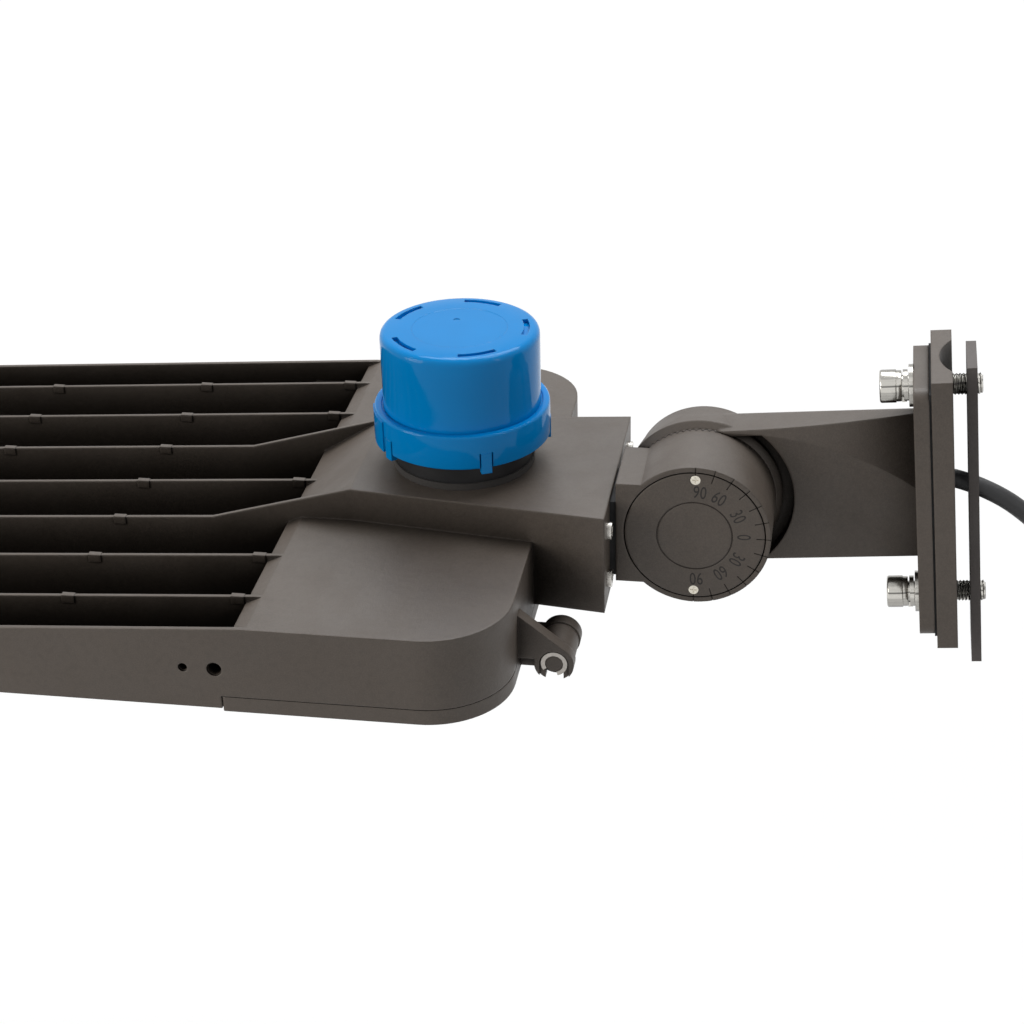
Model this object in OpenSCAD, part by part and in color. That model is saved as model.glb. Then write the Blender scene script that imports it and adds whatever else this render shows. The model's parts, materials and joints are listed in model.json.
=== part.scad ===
// Area floodlight: a finned head with a driver compartment, a twist-lock cap on top,
// a toothed tilt knuckle with a dial, and an arm that bolts to a pole.
// Millimetres. The origin is the middle of the adapter's pole face, +X points into the pole,
// +Z is up, and the head stands at its photographed tilt.

/* [Head] */
// Length of the head from the tilt axis to its tip
head_len = 560; // [440:5:700]
// Width of the head
head_w = 280; // [250:2:330]
// Distance from the tilt axis to the rear wall of the head
rear_gap = 73; // [68:1:80]
// Length of the driver compartment
comp_len = 114; // [108:1:130]
// Height of the head's side from its lower rim to the shoulder
side_h = 41; // [40:0.5:48]
// Drop of the top from the shoulder to the tip
tip_drop = 24; // [10:1:30]
// Thickness of the side walls
wall = 4; // [3.5:0.1:5]
// Thickness of the compartment roof
roof_t = 3; // [2.5:0.1:4]
// Radius of the rear corners
corner_r = 37; // [30:1:45]
// Radius of the tip corners
tip_r = 40; // [30:1:50]

/* [Heat sink] */
// Distance between two cooling fins
fin_pitch = 37; // [34:0.5:40]
// Thickness of a cooling fin
fin_t = 2; // [1.6:0.1:3.2]
// Thickness of the plate that carries the light boards
base_t = 5; // [4:0.1:6]
// Depth of the light recess below that plate
recess_h = 6.5; // [6.5:0.1:8]

/* [Spine] */
// Height of the spine above the shoulder
spine_h = 16.2; // [14:0.1:20]
// Width of the neck at its rear face
neck_w = 106; // [100:1:112]
// Distance from the tilt axis to the neck's rear face
neck_gap = 39.3; // [39.3:0.1:42]
// Depth of the neck's underside below the shoulder
neck_drop = 33; // [28:0.5:34]

/* [Knuckle] */
// Radius of the knuckle on the dial side
knuckle_r = 35; // [33:0.5:36]
// Distance from the middle plane to either face of the knuckle
knuckle_half = 34.4; // [33:0.1:38]
// Distance from the middle plane to the toothed seam
seam_y = 4.5; // [3:0.1:6]
// Number of teeth round the seam
tooth_n = 72; // [36:12:96]
// Radius of the pivot bolt
pivot_r = 6; // [5:0.5:7]
// Radius of the dial cover
dial_r = 32.4; // [30:0.1:32.4]
// Tilt of the head at rest
rest_tilt = 5; // [0:5:20]

/* [Arm] */
// Distance from the tilt axis to the pole face
arm_reach = 117.5; // [114:0.5:150]
// Drop of the tilt axis below the bolts' middle
arm_drop = 2.7; // [0:0.1:5]
// Height of the arm's bar
bar_h = 68; // [60:1:70]
// Thickness of the arm's bar
bar_w = 26.2; // [24:0.1:26.6]
// Width of the arm's flange
flange_w = 58; // [56:1:70]
// Thickness of the arm's flange
flange_t = 6.9; // [6:0.1:9]

/* [Pole plates] */
// Height of the adapter plate
adapter_h = 135.4; // [128:0.2:150]
// Overhang of the adapter plate past the arm's flange
adapter_over = 5; // [3:0.5:8]
// Thickness of the adapter plate
adapter_t = 9.4; // [9:0.1:12]
// Thickness of the rubber sheet between flange and adapter
pole_gasket_t = 1; // [0.8:0.1:1.5]
// Radius of the hollow that seats on a round pole
groove_r = 29; // [27:0.5:32]
// Distance from a mounting bolt to the adapter's near edge
bolt_edge = 14; // [13:0.1:16]
// Radius of the mounting bolts
bolt_r = 5; // [4:0.5:5]
// Width of the backing plate
backing_w = 29.6; // [28:0.2:36]
// Overhang of the backing plate past the adapter plate
backing_over = 8.3; // [4:0.1:12]
// Thickness of the backing plate
backing_t = 4.6; // [4:0.1:6]
// Open gap for the pole wall between adapter and backing plate
pole_gap = 6.2; // [5:0.1:9]

/* [Cap and receptacle] */
// Distance from the tilt axis to the cap's axis
cap_gap = 112.8; // [110:0.2:116]
// Radius of the cap
cap_r = 37.3; // [36:0.1:38]
// Height of the cap's body above its skirt
cap_h = 36.3; // [30:0.1:45]
// Height of the cap's skirt
skirt_h = 17; // [15:0.5:19]
// Radius of the receptacle
socket_r = 32.5; // [31.5:0.1:33]
// Radius of the receptacle's stem in the spine
stem_r = 26; // [25:0.1:27]

/* [Door] */
// Length of the door
door_len = 124.5; // [122:0.5:134]
// Thickness of the door with its rim
door_t = 7.3; // [7:0.1:9]
// Thickness of the door's skin
door_skin = 2.5; // [2:0.1:3]
// Radius of a hinge pin
pin_r = 4; // [3.5:0.1:4.5]
// Distance from the tilt axis to the hinge pins
pin_gap = 57; // [56:0.2:58]
// Distance from the middle plane to the outer face of a hinge ear
ear_y = 94; // [90:1:96]

/* [Cord] */
// Diameter of the cord
cord_d = 8.6; // [8:0.1:9]
// Mean radius of the cord's coil
coil_r = 47.5; // [44:0.5:52]
// Number of loops in the coil
coil_n = 2; // [2:1:3]

/* [Hidden] */
$fn = 72;
cut = 0.5;
run_gap = 0.08;
slip_gap = 0.3;
face_gap = 0.4;

// Head levels and places, in the head's own frame with the tilt axis at the origin
rim_z = -side_h;
base_lo = rim_z + recess_h;
base_hi = base_lo + base_t;
front_x = -rear_gap - comp_len;
tip_x = -head_len;
rear_x = -rear_gap;
half_w = head_w / 2;
part_z = rim_z + recess_h - slip_gap;
door_x = rear_x - door_len;
bar_x = door_x - wall - wall;
spine_lead = 27;
ramp_len = 41;
bay_wall = 2.4;
edge_in = 4;
edge_out = 3;
edge_h = 3;
spine_x = front_x + spine_lead;
spine_half = fin_pitch + fin_t / 2;
neck_x = -neck_gap;
spine_wall = 3.5;
front_wall = 3;
wire_w = 60;
ledge_w = 12;
pad_w = 28;
pad_h = 17;
pad_t = 10;
hole_z = -21;
hole_lead = 2;
hole_pitch = 14.2;
hole_a_x = door_x - hole_lead;
hole_b_x = hole_a_x - hole_pitch;
hole_a_r = 3.4;
hole_b_r = 2.1;
hole_depth = 11;
bump_step = 83.6;
bump_lead = 87;
bump_end = 8;
bump_l = 6;
bump_w = 3;
bump_h = 0.4;
bump_root = 1.5;

// Light engine
board_t = 1.6;
board_edge = 26;
tip_land = 22;
frame_side = 1;
frame_round = 14;
frame_screw_in = 4.2;
pass_r = 1.9;
pass_w = 9;
pass_h = 8;
board_gap = 7;
led_w = 3.5;
led_t = 0.8;
led_nx = 5;
led_ny = 8;
optic_t = 1.5;
dome_r = 9;
dome_h = 2;
seal_w = 4;
frame_t = 1.2;
optic_z = base_lo - board_t - led_t - face_gap;
frame_z = optic_z - optic_t - frame_t;
frame_screw_r = 2;
frame_head_r = 3.5;
frame_head_t = 1;

// Driver compartment contents
driver_l = 84;
driver_w = 76;
driver_h = 26;
driver_side = 8;
driver_y = -half_w + wall + driver_side + driver_l / 2;
driver_in = 53;
driver_x = front_x + driver_in;
surge_l = 44;
surge_w = 40;
surge_h = 22;
surge_y = 62;
surge_in = 30;
surge_x = front_x + surge_in;
block_l = 54;
block_w = 20;
block_h = 13;
block_y = 70;
block_in = 27;
block_x = rear_x - block_in;
block_n = 5;
lug_w = 10;
lug_t = 3;

// Knuckle
tooth_h = 1.2;
tooth_t = 1.2;
dial_t = 2.8;
dial_ring_r = 17.3;
dial_ring_w = 0.7;
dial_ease = 0.3;
mark_t = 0.4;
mark_w = 0.5;
mark_step = 15;
mark_l = 4;
dial_screw_at = 28.7;
dial_screw_r = 1.5;
dial_head_r = 2.3;
dial_head_t = 1;
well_r = 15;
seat_y = -11;
block_lo = -26.1;
block_hi = 24.7;
block_end = -8;
inlet_r = 7;
knuckle_pad_t = 3;
knuckle_pad_in = 2;
knuckle_screw_r = 3;
knuckle_screw_head_r = 5.2;
knuckle_screw_dx = 24;
inner_z = -8.6;
inner_dz = 25;
plate_t = 4;
neck_screw_y = 41;
neck_screw_r = 2.5;
neck_head_r = 4.2;
neck_head_t = 2.2;
bolt_head_h = 12;
bolt_head_r = 9;
hex_r = 5.8;
hex_t = 5;
washer_t = 2.5;
washer_r = 12;
lock_t = 2.5;
lock_r = 9.8;
nut_af = 19;
nut_h = 10;
nut_out = 2.4;

// Arm
flange_h = adapter_h - 2 * adapter_over;
bolt_pitch = adapter_h - 2 * bolt_edge;
backing_h = adapter_h + 2 * backing_over;
disc_r = 38;
disc_y = 8.4;
disc_back_r = 34;
disc_round = 3;
bar_y = seam_y - tooth_t + slip_gap;
bar_lip = 2.5;
moat_r = 43.6;
moat_t = 8;
sweep_r = 149.5;
sweep_x = 8.6;
sweep_z = -116.4;
sweep_rise = 51;
bar_round = 9;
duct_y = 12.5;
duct_w = 12;
duct_h = 30;
duct_drop = 25;
duct_x = 48;
flange_r = 7;
hand_hole_r = 13;
bolt_slip = 0.5;
m_washer_r = 9.7;
m_washer_t = 2;
m_lock_r = 7.5;
m_lock_t = 3.3;
m_head_r = 7.6;
m_head_h = 9.8;
m_hex_r = 4.6;
m_bolt_out = 2.6;
thread_dip = 0.25;
groove_depth = 5.6;
bush_z = 6.5;
bush_r = 8;
bush_lip_r = 10.5;
bush_lip_t = 2;
backing_drop = 8;
backing_hole_r = 12;

// Cap and receptacle, upward from the spine's top
socket_pad_t = 3.3;
socket_h = 15;
skirt_lift = 10.9;
stem_l = 32;
stem_hole_r = 8;
slot_r = 16.7;
slot_t = 3.2;
slot_depth = 14;
slot_turn = 64;
blade_t = 1.6;
blade_turn = 26;
blade_stop = 1;
blade_l = 12;
contact_t = 0.5;
contact_l = 11;
cap_pad_t = 1.6;
cap_base_t = 4;
cap_wall = 2.4;
cap_round = 3;
skirt_r = 41.3;
skirt_step = 1.2;
skirt_lap = 3;
skirt_gap = 0.6;
tab_n = 5;
tab_w = 5;
tab_h = 11;
tab_t = 0.3;
tab_drop = 2.4;
slit_w = 0.8;
slit_h = 7.5;
rib_at = 207;
rib_turn = 9;
rib_t = 0.6;
vent_turn = 26;
vent_r = 31;
vent_w = 2;
vent_t = 1;
gate_r = 1.6;
gate_t = 0.8;

// Door and hinge
door_edge = 1;
pin_lift = 4.5;
pin_z = rim_z + pin_lift;
boss_r = 9;
ear_t = 6.3;
barrel_l = 15;
ear_gap = 0.3;
clip_r = 6;
clip_t = 1;
clip_well_r = 6.6;
clip_well_t = 1.5;
clip_turn = 70;
gusset_h = 26;
gusset_turn = 50;
web_turn = 30;
door_screw_r = 2.5;
door_head_r = 4.5;
door_head_t = 2.4;
door_screw_l = 4.5;
seal_in = 1;
door_seal_w = 2;
door_seal_t = 1.5;
arm_t = 6;

// Cord: the route from the bushing to the coil, hung down behind the pole face
cord_route = [
  [-5, 0, 6.5], [0, 0, 6], [11, 0, 1.5], [22, 0, -5], [31, 1, -13], [40, 4, -24], [48, 9, -37],
  [54, 16, -52], [59, 24, -68], [62, 32, -85], [64, 39, -103], [65, 44, -121], [66, 47, -138],
  [66, 47.5, -150]
];
tail_route = [
  [0, 0, 0], [0, 0, -25], [1, -1, -50], [2, -2, -75], [2, -2, -100]
];
cord_sides = 8;
coil_sides = 6;
coil_rings = 24;
coil_pitch = 10;
coil_x = 66;
coil_z = -150;
tie_w = 5;
tie_t = 1;
lead_r = 1.3;
lead_l = 34;
lead_bare_r = 0.7;
lead_bare_l = 10;
lead_at = 2.2;

// Height of the head's top over a place in front of the shoulder
function top_z(x) = -tip_drop * (front_x - x) / (front_x - tip_x);

// Places the head's own frame at its rest tilt
module in_head() {
  translate([-arm_reach, 0, -arm_drop])
    rotate([0, rest_tilt, 0])
      children();
}

// Places the arm's own frame, with the tilt axis at the origin
module in_arm() {
  translate([-arm_reach, 0, -arm_drop])
    children();
}

// Both sides of the middle plane
module both() {
  children();
  mirror([0, 1, 0])
    children();
}

// A slab over a plan with two corner radii, one at each end
module slab(x0, x1, half, r0, r1, z0, z1) {
  translate([0, 0, z0])
    linear_extrude(z1 - z0)
      union() {
        translate([x0 + r0, -half])
          square([x1 - r1 - x0 - r0, 2 * half]);
        translate([x0, -half + r0])
          square([r0 + cut, 2 * (half - r0)]);
        translate([x1 - r1 - cut, -half + r1])
          square([r1 + cut, 2 * (half - r1)]);
        for (s = [-1, 1]) {
          translate([x0 + r0, s * (half - r0)])
            circle(r = r0);
          translate([x1 - r1, s * (half - r1)])
            circle(r = r1);
        }
      }
}

// A shape drawn in the side view and given a width about a middle
module side_shape(y, w) {
  translate([0, y + w / 2, 0])
    rotate([90, 0, 0])
      linear_extrude(w)
        children();
}

// A cylinder along Y from one place to another
module y_rod(r, y0, y1) {
  translate([0, y1, 0])
    rotate([90, 0, 0])
      cylinder(r = r, h = y1 - y0);
}

// A cylinder along X from one place to another
module x_rod(r, x0, x1) {
  translate([x0, 0, 0])
    rotate([0, 90, 0])
      cylinder(r = r, h = x1 - x0);
}

// A flat ring on the XY plane
module ring(r1, r0, h) {
  difference() {
    cylinder(r = r1, h = h);
    translate([0, 0, -cut])
      cylinder(r = r0, h = h + 2 * cut);
  }
}

// A sector of a ring on the XY plane, centred on +X
module arc_ring(r1, r0, h, turn) {
  rotate([0, 0, -turn / 2])
    rotate_extrude(angle = turn)
      translate([r0, 0])
        square([r1 - r0, h]);
}

// The head's outline with a wall taken off
module outline(inset, z0, z1) {
  slab(tip_x + inset, rear_x - inset, half_w - inset, tip_r - inset, corner_r - inset, z0, z1);
}

// The profile of the head under its sloping top, lowered by a thickness
module top_profile(lower) {
  side_shape(0, head_w + 2 * cut)
    polygon([
      [tip_x - cut, rim_z - cut],
      [rear_x + cut, rim_z - cut],
      [rear_x + cut, -lower],
      [front_x, -lower],
      [tip_x - cut, top_z(tip_x - cut) - lower]
    ]);
}

// Height of the spine's front slope over a place along the head
function slope_z(x) = -edge_h + (x - front_x + edge_in) * (spine_h + edge_h) / (spine_lead + edge_in);

// The spine and neck, with a wall taken off all round
module spine(i) {
  x0 = front_x + (i > 0 ? front_wall : -edge_in);
  intersection() {
    translate([0, 0, -neck_drop - cut])
      linear_extrude(neck_drop + spine_h + 2 * cut)
        polygon([
          [x0, -spine_half + i], [spine_x, -spine_half + i],
          [neck_x - i, -neck_w / 2 + i], [neck_x - i, neck_w / 2 - i],
          [spine_x, spine_half - i], [x0, spine_half - i]
        ]);
    side_shape(0, neck_w + 2 * cut)
      polygon([
        [x0, -roof_t - cut], [x0, slope_z(x0) - i], [spine_x, spine_h - i],
        [neck_x - i, spine_h - i], [neck_x - i, -neck_drop + i], [rear_x - wall, -neck_drop + i],
        [rear_x - wall, -roof_t - cut]
      ]);
  }
}

// One cooling fin
module fin(y) {
  side_shape(y, fin_t)
    polygon([
      [tip_x + wall / 2, base_hi - cut], [front_x + edge_out, base_hi - cut],
      [front_x + edge_out, 0], [front_x, 0], [tip_x + wall / 2, top_z(tip_x + wall / 2)]
    ]);
}

// Small cast pads along a fin's top, and one at its end
module fin_pad(x, y) {
  translate([x, y, top_z(x) - bump_root])
    cube([bump_l, bump_w, 2 * (bump_root + bump_h)], center = true);
}
module fin_pads(y) {
  for (x = [front_x - bump_lead : -bump_step : tip_x + tip_r])
    fin_pad(x, y);
  if (y != fin_pitch)
    fin_pad(front_x - bump_end, y);
}

// The raised fin that runs into the spine's edge
module ramp_fin(y) {
  side_shape(y, fin_t)
    polygon([
      [front_x - ramp_len, top_z(front_x - ramp_len)], [spine_x, spine_h],
      [spine_x, -roof_t], [front_x - ramp_len, top_z(front_x - ramp_len) - roof_t]
    ]);
}

// A hinge ear on the rear wall, open below as a hook
module ear(y, h) {
  side_shape(y, ear_t)
    difference() {
      union() {
        polygon([
          [rear_x - wall / 2, pin_z + h],
          [-pin_gap + boss_r * cos(gusset_turn), pin_z + min(h, boss_r * sin(gusset_turn))],
          [-pin_gap, pin_z],
          [-pin_gap - boss_r * cos(web_turn), pin_z + boss_r * sin(web_turn) / 2],
          [rear_x - wall / 2, pin_z + boss_r * sin(web_turn) / 2]
        ]);
        translate([-pin_gap, pin_z])
          circle(r = boss_r);
      }
      translate([-pin_gap, pin_z])
        circle(r = pin_r + run_gap);
      translate([-pin_gap - pin_r - run_gap, pin_z - boss_r - cut])
        square([2 * (pin_r + run_gap), boss_r + cut]);
    }
}

// The space a hinge clip lies in, open below
module clip_well() {
  side_shape(-ear_y, 2 * clip_well_t)
    union() {
      translate([-pin_gap, pin_z])
        circle(r = clip_well_r);
      translate([-pin_gap - clip_well_r, pin_z - boss_r - cut])
        square([2 * clip_well_r, boss_r + cut]);
    }
}

// Tapped holes on the head's side and the pads behind them
module side_pad() {
  translate([hole_b_x - pad_w / 4, -half_w + wall / 2, base_hi - cut])
    cube([pad_w, pad_t, pad_h]);
}
module side_holes() {
  translate([hole_a_x, 0, hole_z])
    y_rod(hole_a_r, -half_w - cut, -half_w + hole_depth);
  translate([hole_b_x, 0, hole_z])
    y_rod(hole_b_r, -half_w - cut, -half_w + hole_depth);
}

// Places of the two light modules along the head
recess_x0 = tip_x + tip_land;
recess_x1 = bar_x;
module_l = (recess_x1 - recess_x0 - board_gap) / 2;
module module_at(k) {
  translate([recess_x0 + module_l / 2 + k * (module_l + board_gap), 0, 0])
    children();
}
board_l = module_l - board_edge;
frame_w = head_w - 2 * wall - 2 * frame_side;
board_w = frame_w - board_edge;
opt_l = board_l + 2 * seal_w + 2 * slip_gap;
opt_w = board_w + 2 * seal_w + 2 * slip_gap;
frame_l = module_l;

// Place of the wires' way down to the light boards
pass_x = bar_x - board_edge / 2 - pass_w;
pass_y = -fin_pitch / 2;

// Places of the screws round a light module's frame
module frame_places() {
  for (k = [0, 1])
    module_at(k)
      for (sx = [-1, 1])
        for (sy = [-1, 0, 1])
          translate([sx * (frame_l / 2 - frame_screw_in), sy * (frame_w / 2 - frame_round), 0])
            children();
}

module housing() {
  color("#5d554f")
    in_head()
      difference() {
        union() {
          difference() {
            intersection() {
              outline(0, rim_z, cut);
              top_profile(0);
            }
            // well of the heat sink
            intersection() {
              outline(bay_wall, base_hi, spine_h);
              side_shape(0, head_w)
                polygon([
                  [tip_x, base_hi], [front_x - edge_in, base_hi], [front_x - edge_in, -edge_h],
                  [front_x + edge_out + cut * (edge_in + edge_out) / edge_h, cut], [tip_x, cut]
                ]);
            }
            // recess of the light modules
            slab(
              tip_x + wall, bar_x, half_w - wall, tip_r - wall, wall,
              rim_z - cut, base_lo
            );
          }
          for (y = [fin_pitch : fin_pitch : half_w - wall - fin_pitch / 2])
            both() {
              fin(y);
              fin_pads(y);
            }
          fin(0);
          fin_pads(0);
          both()
            ramp_fin(fin_pitch);
          spine(0);
          both() {
            ear(-ear_y + ear_t / 2, gusset_h);
            ear(-ear_y + ear_t * 3 / 2 + barrel_l + 2 * ear_gap, boss_r * sin(web_turn));
            side_pad();
          }
          // duct for the light boards' wires
          translate([pass_x - pass_w / 2, pass_y - pass_w / 2, base_hi - cut])
            cube([front_x + cut - pass_x + pass_w / 2, pass_w, pass_h + cut]);
        }
        // driver compartment, spine and neck
        intersection() {
          outline(wall, part_z - cut, -roof_t);
          translate([front_x + front_wall, -half_w, rim_z - cut])
            cube([comp_len - front_wall - wall, head_w, side_h]);
        }
        spine(spine_wall);
        translate([rear_x - 2 * wall, -wire_w / 2, -neck_drop + spine_wall])
          cube([3 * wall, wire_w, neck_drop - spine_wall - roof_t]);
        // parting line of the door
        translate([door_x, -half_w - cut, rim_z - cut])
          cube([door_len + cut, head_w + 2 * cut, part_z - rim_z + cut]);
        // receptacle
        translate([-cap_gap, 0, -roof_t])
          cylinder(r = stem_r + run_gap, h = spine_h + 2 * roof_t);
        both() {
          side_holes();
          clip_well();
          door_screw_place()
            cylinder(r = door_screw_r + slip_gap, h = door_screw_l);
        }
        // screws of the light modules, the knuckle and the neck
        frame_places()
          translate([0, 0, base_lo - cut])
            cylinder(r = frame_screw_r, h = base_t - cut);
        knuckle_screw_places()
          x_rod(knuckle_screw_r + slip_gap, neck_x - 2 * spine_wall, neck_x + cut);
        neck_screw_places()
          x_rod(neck_screw_r + slip_gap, neck_x - 2 * spine_wall, neck_x + cut);
        inlet_place()
          x_rod(inlet_r, neck_x - 2 * spine_wall, neck_x + cut);
        // the wires' way from the compartment to the boards
        translate([0, pass_y, base_hi + pass_h / 2])
          x_rod(pass_r, pass_x, front_x + front_wall + cut);
        translate([pass_x, pass_y, base_lo - cut])
          cylinder(r = pass_r, h = cut + base_t + pass_h / 2);
        // screws of the driver
        driver_screw_places()
          cylinder(r = frame_screw_r + run_gap, h = roof_t / 2);
      }
}

// Where a door screw stands, on the land at the door's front edge
module door_screw_place() {
  translate([door_x + ledge_w / 2, -half_w + corner_r, part_z - cut])
    children();
}

// Where the driver's two screws meet the roof
module driver_screw_places() {
  for (s = [-1, 1])
    translate([driver_x, driver_y + s * (driver_l - lug_w) / 2, -roof_t])
      children();
}

// Places of the wire inlet, of the screws that hold the knuckle and of the neck plate's screws
module inlet_place() {
  translate([0, (seam_y - knuckle_half) / 2, inner_z])
    children();
}
module knuckle_screw_places() {
  for (sy = [-1, 1])
    for (sz = [-1, 1])
      inlet_place()
        translate([0, sy * knuckle_screw_dx / 2, sz * inner_dz / 2])
          children();
}
module neck_screw_places() {
  for (sy = [-1, 1])
    for (sz = [-1, 1])
      translate([0, sy * neck_screw_y, inner_z + sz * inner_dz / 2])
        children();
}

// A wheel with fine teeth on its rim, along Y
module toothed(r, y0) {
  translate([0, y0 + tooth_t, 0])
    rotate([90, 0, 0])
      linear_extrude(tooth_t)
        polygon([
          for (i = [0 : 2 * tooth_n - 1])
            let (a = i * 180 / tooth_n, q = i % 2 == 0 ? r : r - tooth_h)
              [q * cos(a), q * sin(a)]
        ]);
}

module knuckle() {
  color("#5d554f")
    in_head()
      difference() {
        union() {
          y_rod(knuckle_r, -knuckle_half, seam_y - tooth_t);
          toothed(knuckle_r - slip_gap, seam_y - tooth_t);
          translate([neck_x + knuckle_pad_t, -knuckle_half, block_lo])
            cube([
              block_end - neck_x - knuckle_pad_t, knuckle_half + seam_y - tooth_t,
              block_hi - block_lo
            ]);
        }
        // seat of the dial cover and the well of the pivot bolt
        y_rod(dial_r + slip_gap, -knuckle_half - cut, -knuckle_half + dial_t);
        y_rod(well_r, -knuckle_half, seat_y);
        y_rod(pivot_r + run_gap, seat_y - cut, seam_y + cut);
        inlet_place()
          x_rod(inlet_r, neck_x - cut, block_end - cut);
        for (s = [-1, 1])
          translate([0, 0, s * dial_screw_at])
            y_rod(dial_screw_r + run_gap, -knuckle_half, seat_y);
        for (a = [-90 : mark_step : 90])
          rotate([0, a, 0])
            translate([dial_r + slip_gap - cut, -knuckle_half - cut, -mark_w / 2])
              cube([knuckle_r - dial_r + cut, mark_t + cut, mark_w]);
        knuckle_screw_places()
          x_rod(knuckle_screw_r + run_gap, neck_x, -well_r - knuckle_screw_r / 2);
      }
}

module knuckle_gasket() {
  color("#1b1b1b")
    in_head()
      difference() {
        translate([neck_x, -knuckle_half + knuckle_pad_in, block_lo + knuckle_pad_in])
          cube([
            knuckle_pad_t, knuckle_half + seam_y - tooth_t - 2 * knuckle_pad_in,
            spine_h - block_lo - 2 * knuckle_pad_in
          ]);
        knuckle_screw_places()
          x_rod(knuckle_screw_r + slip_gap, neck_x - cut, neck_x + knuckle_pad_t + cut);
        inlet_place()
          x_rod(inlet_r, neck_x - cut, neck_x + knuckle_pad_t + cut);
      }
}

module knuckle_screws() {
  color("#b9bcbe")
    in_head()
      knuckle_screw_places() {
        x_rod(knuckle_screw_r, neck_x - spine_wall - plate_t, -well_r - knuckle_screw_r);
        translate([neck_x - spine_wall - plate_t - hex_t, 0, 0])
          rotate([0, 90, 0])
            cylinder(r = knuckle_screw_head_r, h = hex_t, $fn = 6);
      }
}

module neck_plate() {
  color("#9a9c9d")
    in_head()
      difference() {
        translate([
          neck_x - spine_wall - plate_t, -neck_w / 2 + 2 * spine_wall, -neck_drop + 2 * spine_wall
        ])
          cube([plate_t, neck_w - 4 * spine_wall, neck_drop + spine_h - 4 * spine_wall]);
        knuckle_screw_places()
          x_rod(knuckle_screw_r + slip_gap, neck_x - 3 * spine_wall, neck_x);
        neck_screw_places()
          x_rod(neck_screw_r + run_gap, neck_x - 3 * spine_wall, neck_x);
        inlet_place()
          x_rod(inlet_r, neck_x - 3 * spine_wall, neck_x);
      }
}

module neck_screws() {
  color("#c3c6c8")
    in_head()
      neck_screw_places() {
        x_rod(neck_screw_r, neck_x - spine_wall - plate_t, neck_x);
        difference() {
          x_rod(neck_head_r, neck_x, neck_x + neck_head_t);
          translate([neck_x + neck_head_t / 2, 0, 0])
            rotate([0, 90, 0])
              cylinder(r = neck_screw_r, h = neck_head_t, $fn = 6);
        }
      }
}

module dial_cover() {
  color("#5a524c")
    in_head()
      difference() {
        y_rod(dial_r - dial_ease, -knuckle_half, -knuckle_half + dial_t);
        // the fine circle and the marks
        translate([0, -knuckle_half + mark_t, 0])
          rotate([90, 0, 0])
            ring(dial_ring_r + dial_ring_w / 2, dial_ring_r - dial_ring_w / 2, mark_t + cut);
        for (a = [-90 : mark_step : 90])
          rotate([0, a, 0])
            translate([dial_r - mark_l, -knuckle_half - cut, -mark_w / 2])
              cube([mark_l + cut, mark_t + cut, mark_w]);
        for (s = [-1, 1])
          translate([0, 0, s * dial_screw_at]) {
            y_rod(dial_screw_r + slip_gap, -knuckle_half - cut, -knuckle_half + dial_t + cut);
            y_rod(dial_head_r + slip_gap / 3, -knuckle_half - cut, -knuckle_half + dial_head_t);
          }
      }
}

module dial_screws() {
  color("#cfcac0")
    in_head()
      for (s = [-1, 1])
        translate([0, 0, s * dial_screw_at]) {
          difference() {
            y_rod(dial_head_r, -knuckle_half, -knuckle_half + dial_head_t);
            for (a = [0, 90])
              rotate([0, a, 0])
                translate([-dial_screw_r, -knuckle_half - cut, -mark_w / 2])
                  cube([2 * dial_screw_r, cut + mark_w, mark_w]);
          }
          y_rod(dial_screw_r, -knuckle_half + dial_head_t, seat_y - 2 * pivot_r);
        }
}

module pivot_bolt() {
  head_y = seat_y - washer_t - lock_t;
  color("#b9bcbe")
    in_arm()
      difference() {
        union() {
          y_rod(pivot_r, head_y, knuckle_half - nut_out + mark_t);
          y_rod(bolt_head_r, head_y - bolt_head_h, head_y);
        }
        translate([0, head_y - bolt_head_h + hex_t, 0])
          rotate([90, 0, 0])
            cylinder(r = hex_r, h = hex_t + cut, $fn = 6);
      }
}

module pivot_washer() {
  color("#c3c6c8")
    in_arm()
      difference() {
        y_rod(washer_r, seat_y - washer_t, seat_y);
        y_rod(pivot_r + run_gap, seat_y - 2 * washer_t, seat_y + cut);
      }
}

module pivot_lock_washer() {
  color("#c3c6c8")
    in_arm()
      difference() {
        y_rod(lock_r, seat_y - washer_t - lock_t, seat_y - washer_t);
        y_rod(pivot_r + run_gap, seat_y - 2 * washer_t - lock_t, seat_y);
        translate([0, seat_y - washer_t - 2 * lock_t, -lock_t / 2])
          cube([lock_r + cut, 3 * lock_t, lock_t / 2]);
      }
}

module pivot_nut() {
  color("#b9bcbe")
    in_arm()
      difference() {
        translate([0, knuckle_half - nut_out, 0])
          rotate([90, 0, 0])
            cylinder(r = nut_af / 2 / cos(30), h = nut_h, $fn = 6);
        y_rod(pivot_r + run_gap, 0, knuckle_half);
      }
}

// The arm's bar in side view with its far edges eased and its near face swept away
module bar() {
  bar_x1 = arm_reach - adapter_t - pole_gasket_t - flange_t;
  intersection() {
    translate([0, bar_y, -bar_h / 2])
      rotate([90, 0, 90])
        linear_extrude(bar_x1 + cut)
          union() {
            square([bar_w - bar_round, bar_h]);
            translate([0, bar_round])
              square([bar_w, bar_h - 2 * bar_round]);
            for (z = [bar_round, bar_h - bar_round])
              translate([bar_w - bar_round, z])
                circle(r = bar_round);
          }
    translate([sweep_x, bar_y + bar_w, sweep_z])
      rotate([90, 0, 0])
        cylinder(r1 = sweep_r + sweep_rise, r2 = sweep_r, h = bar_w);
  }
}

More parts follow.
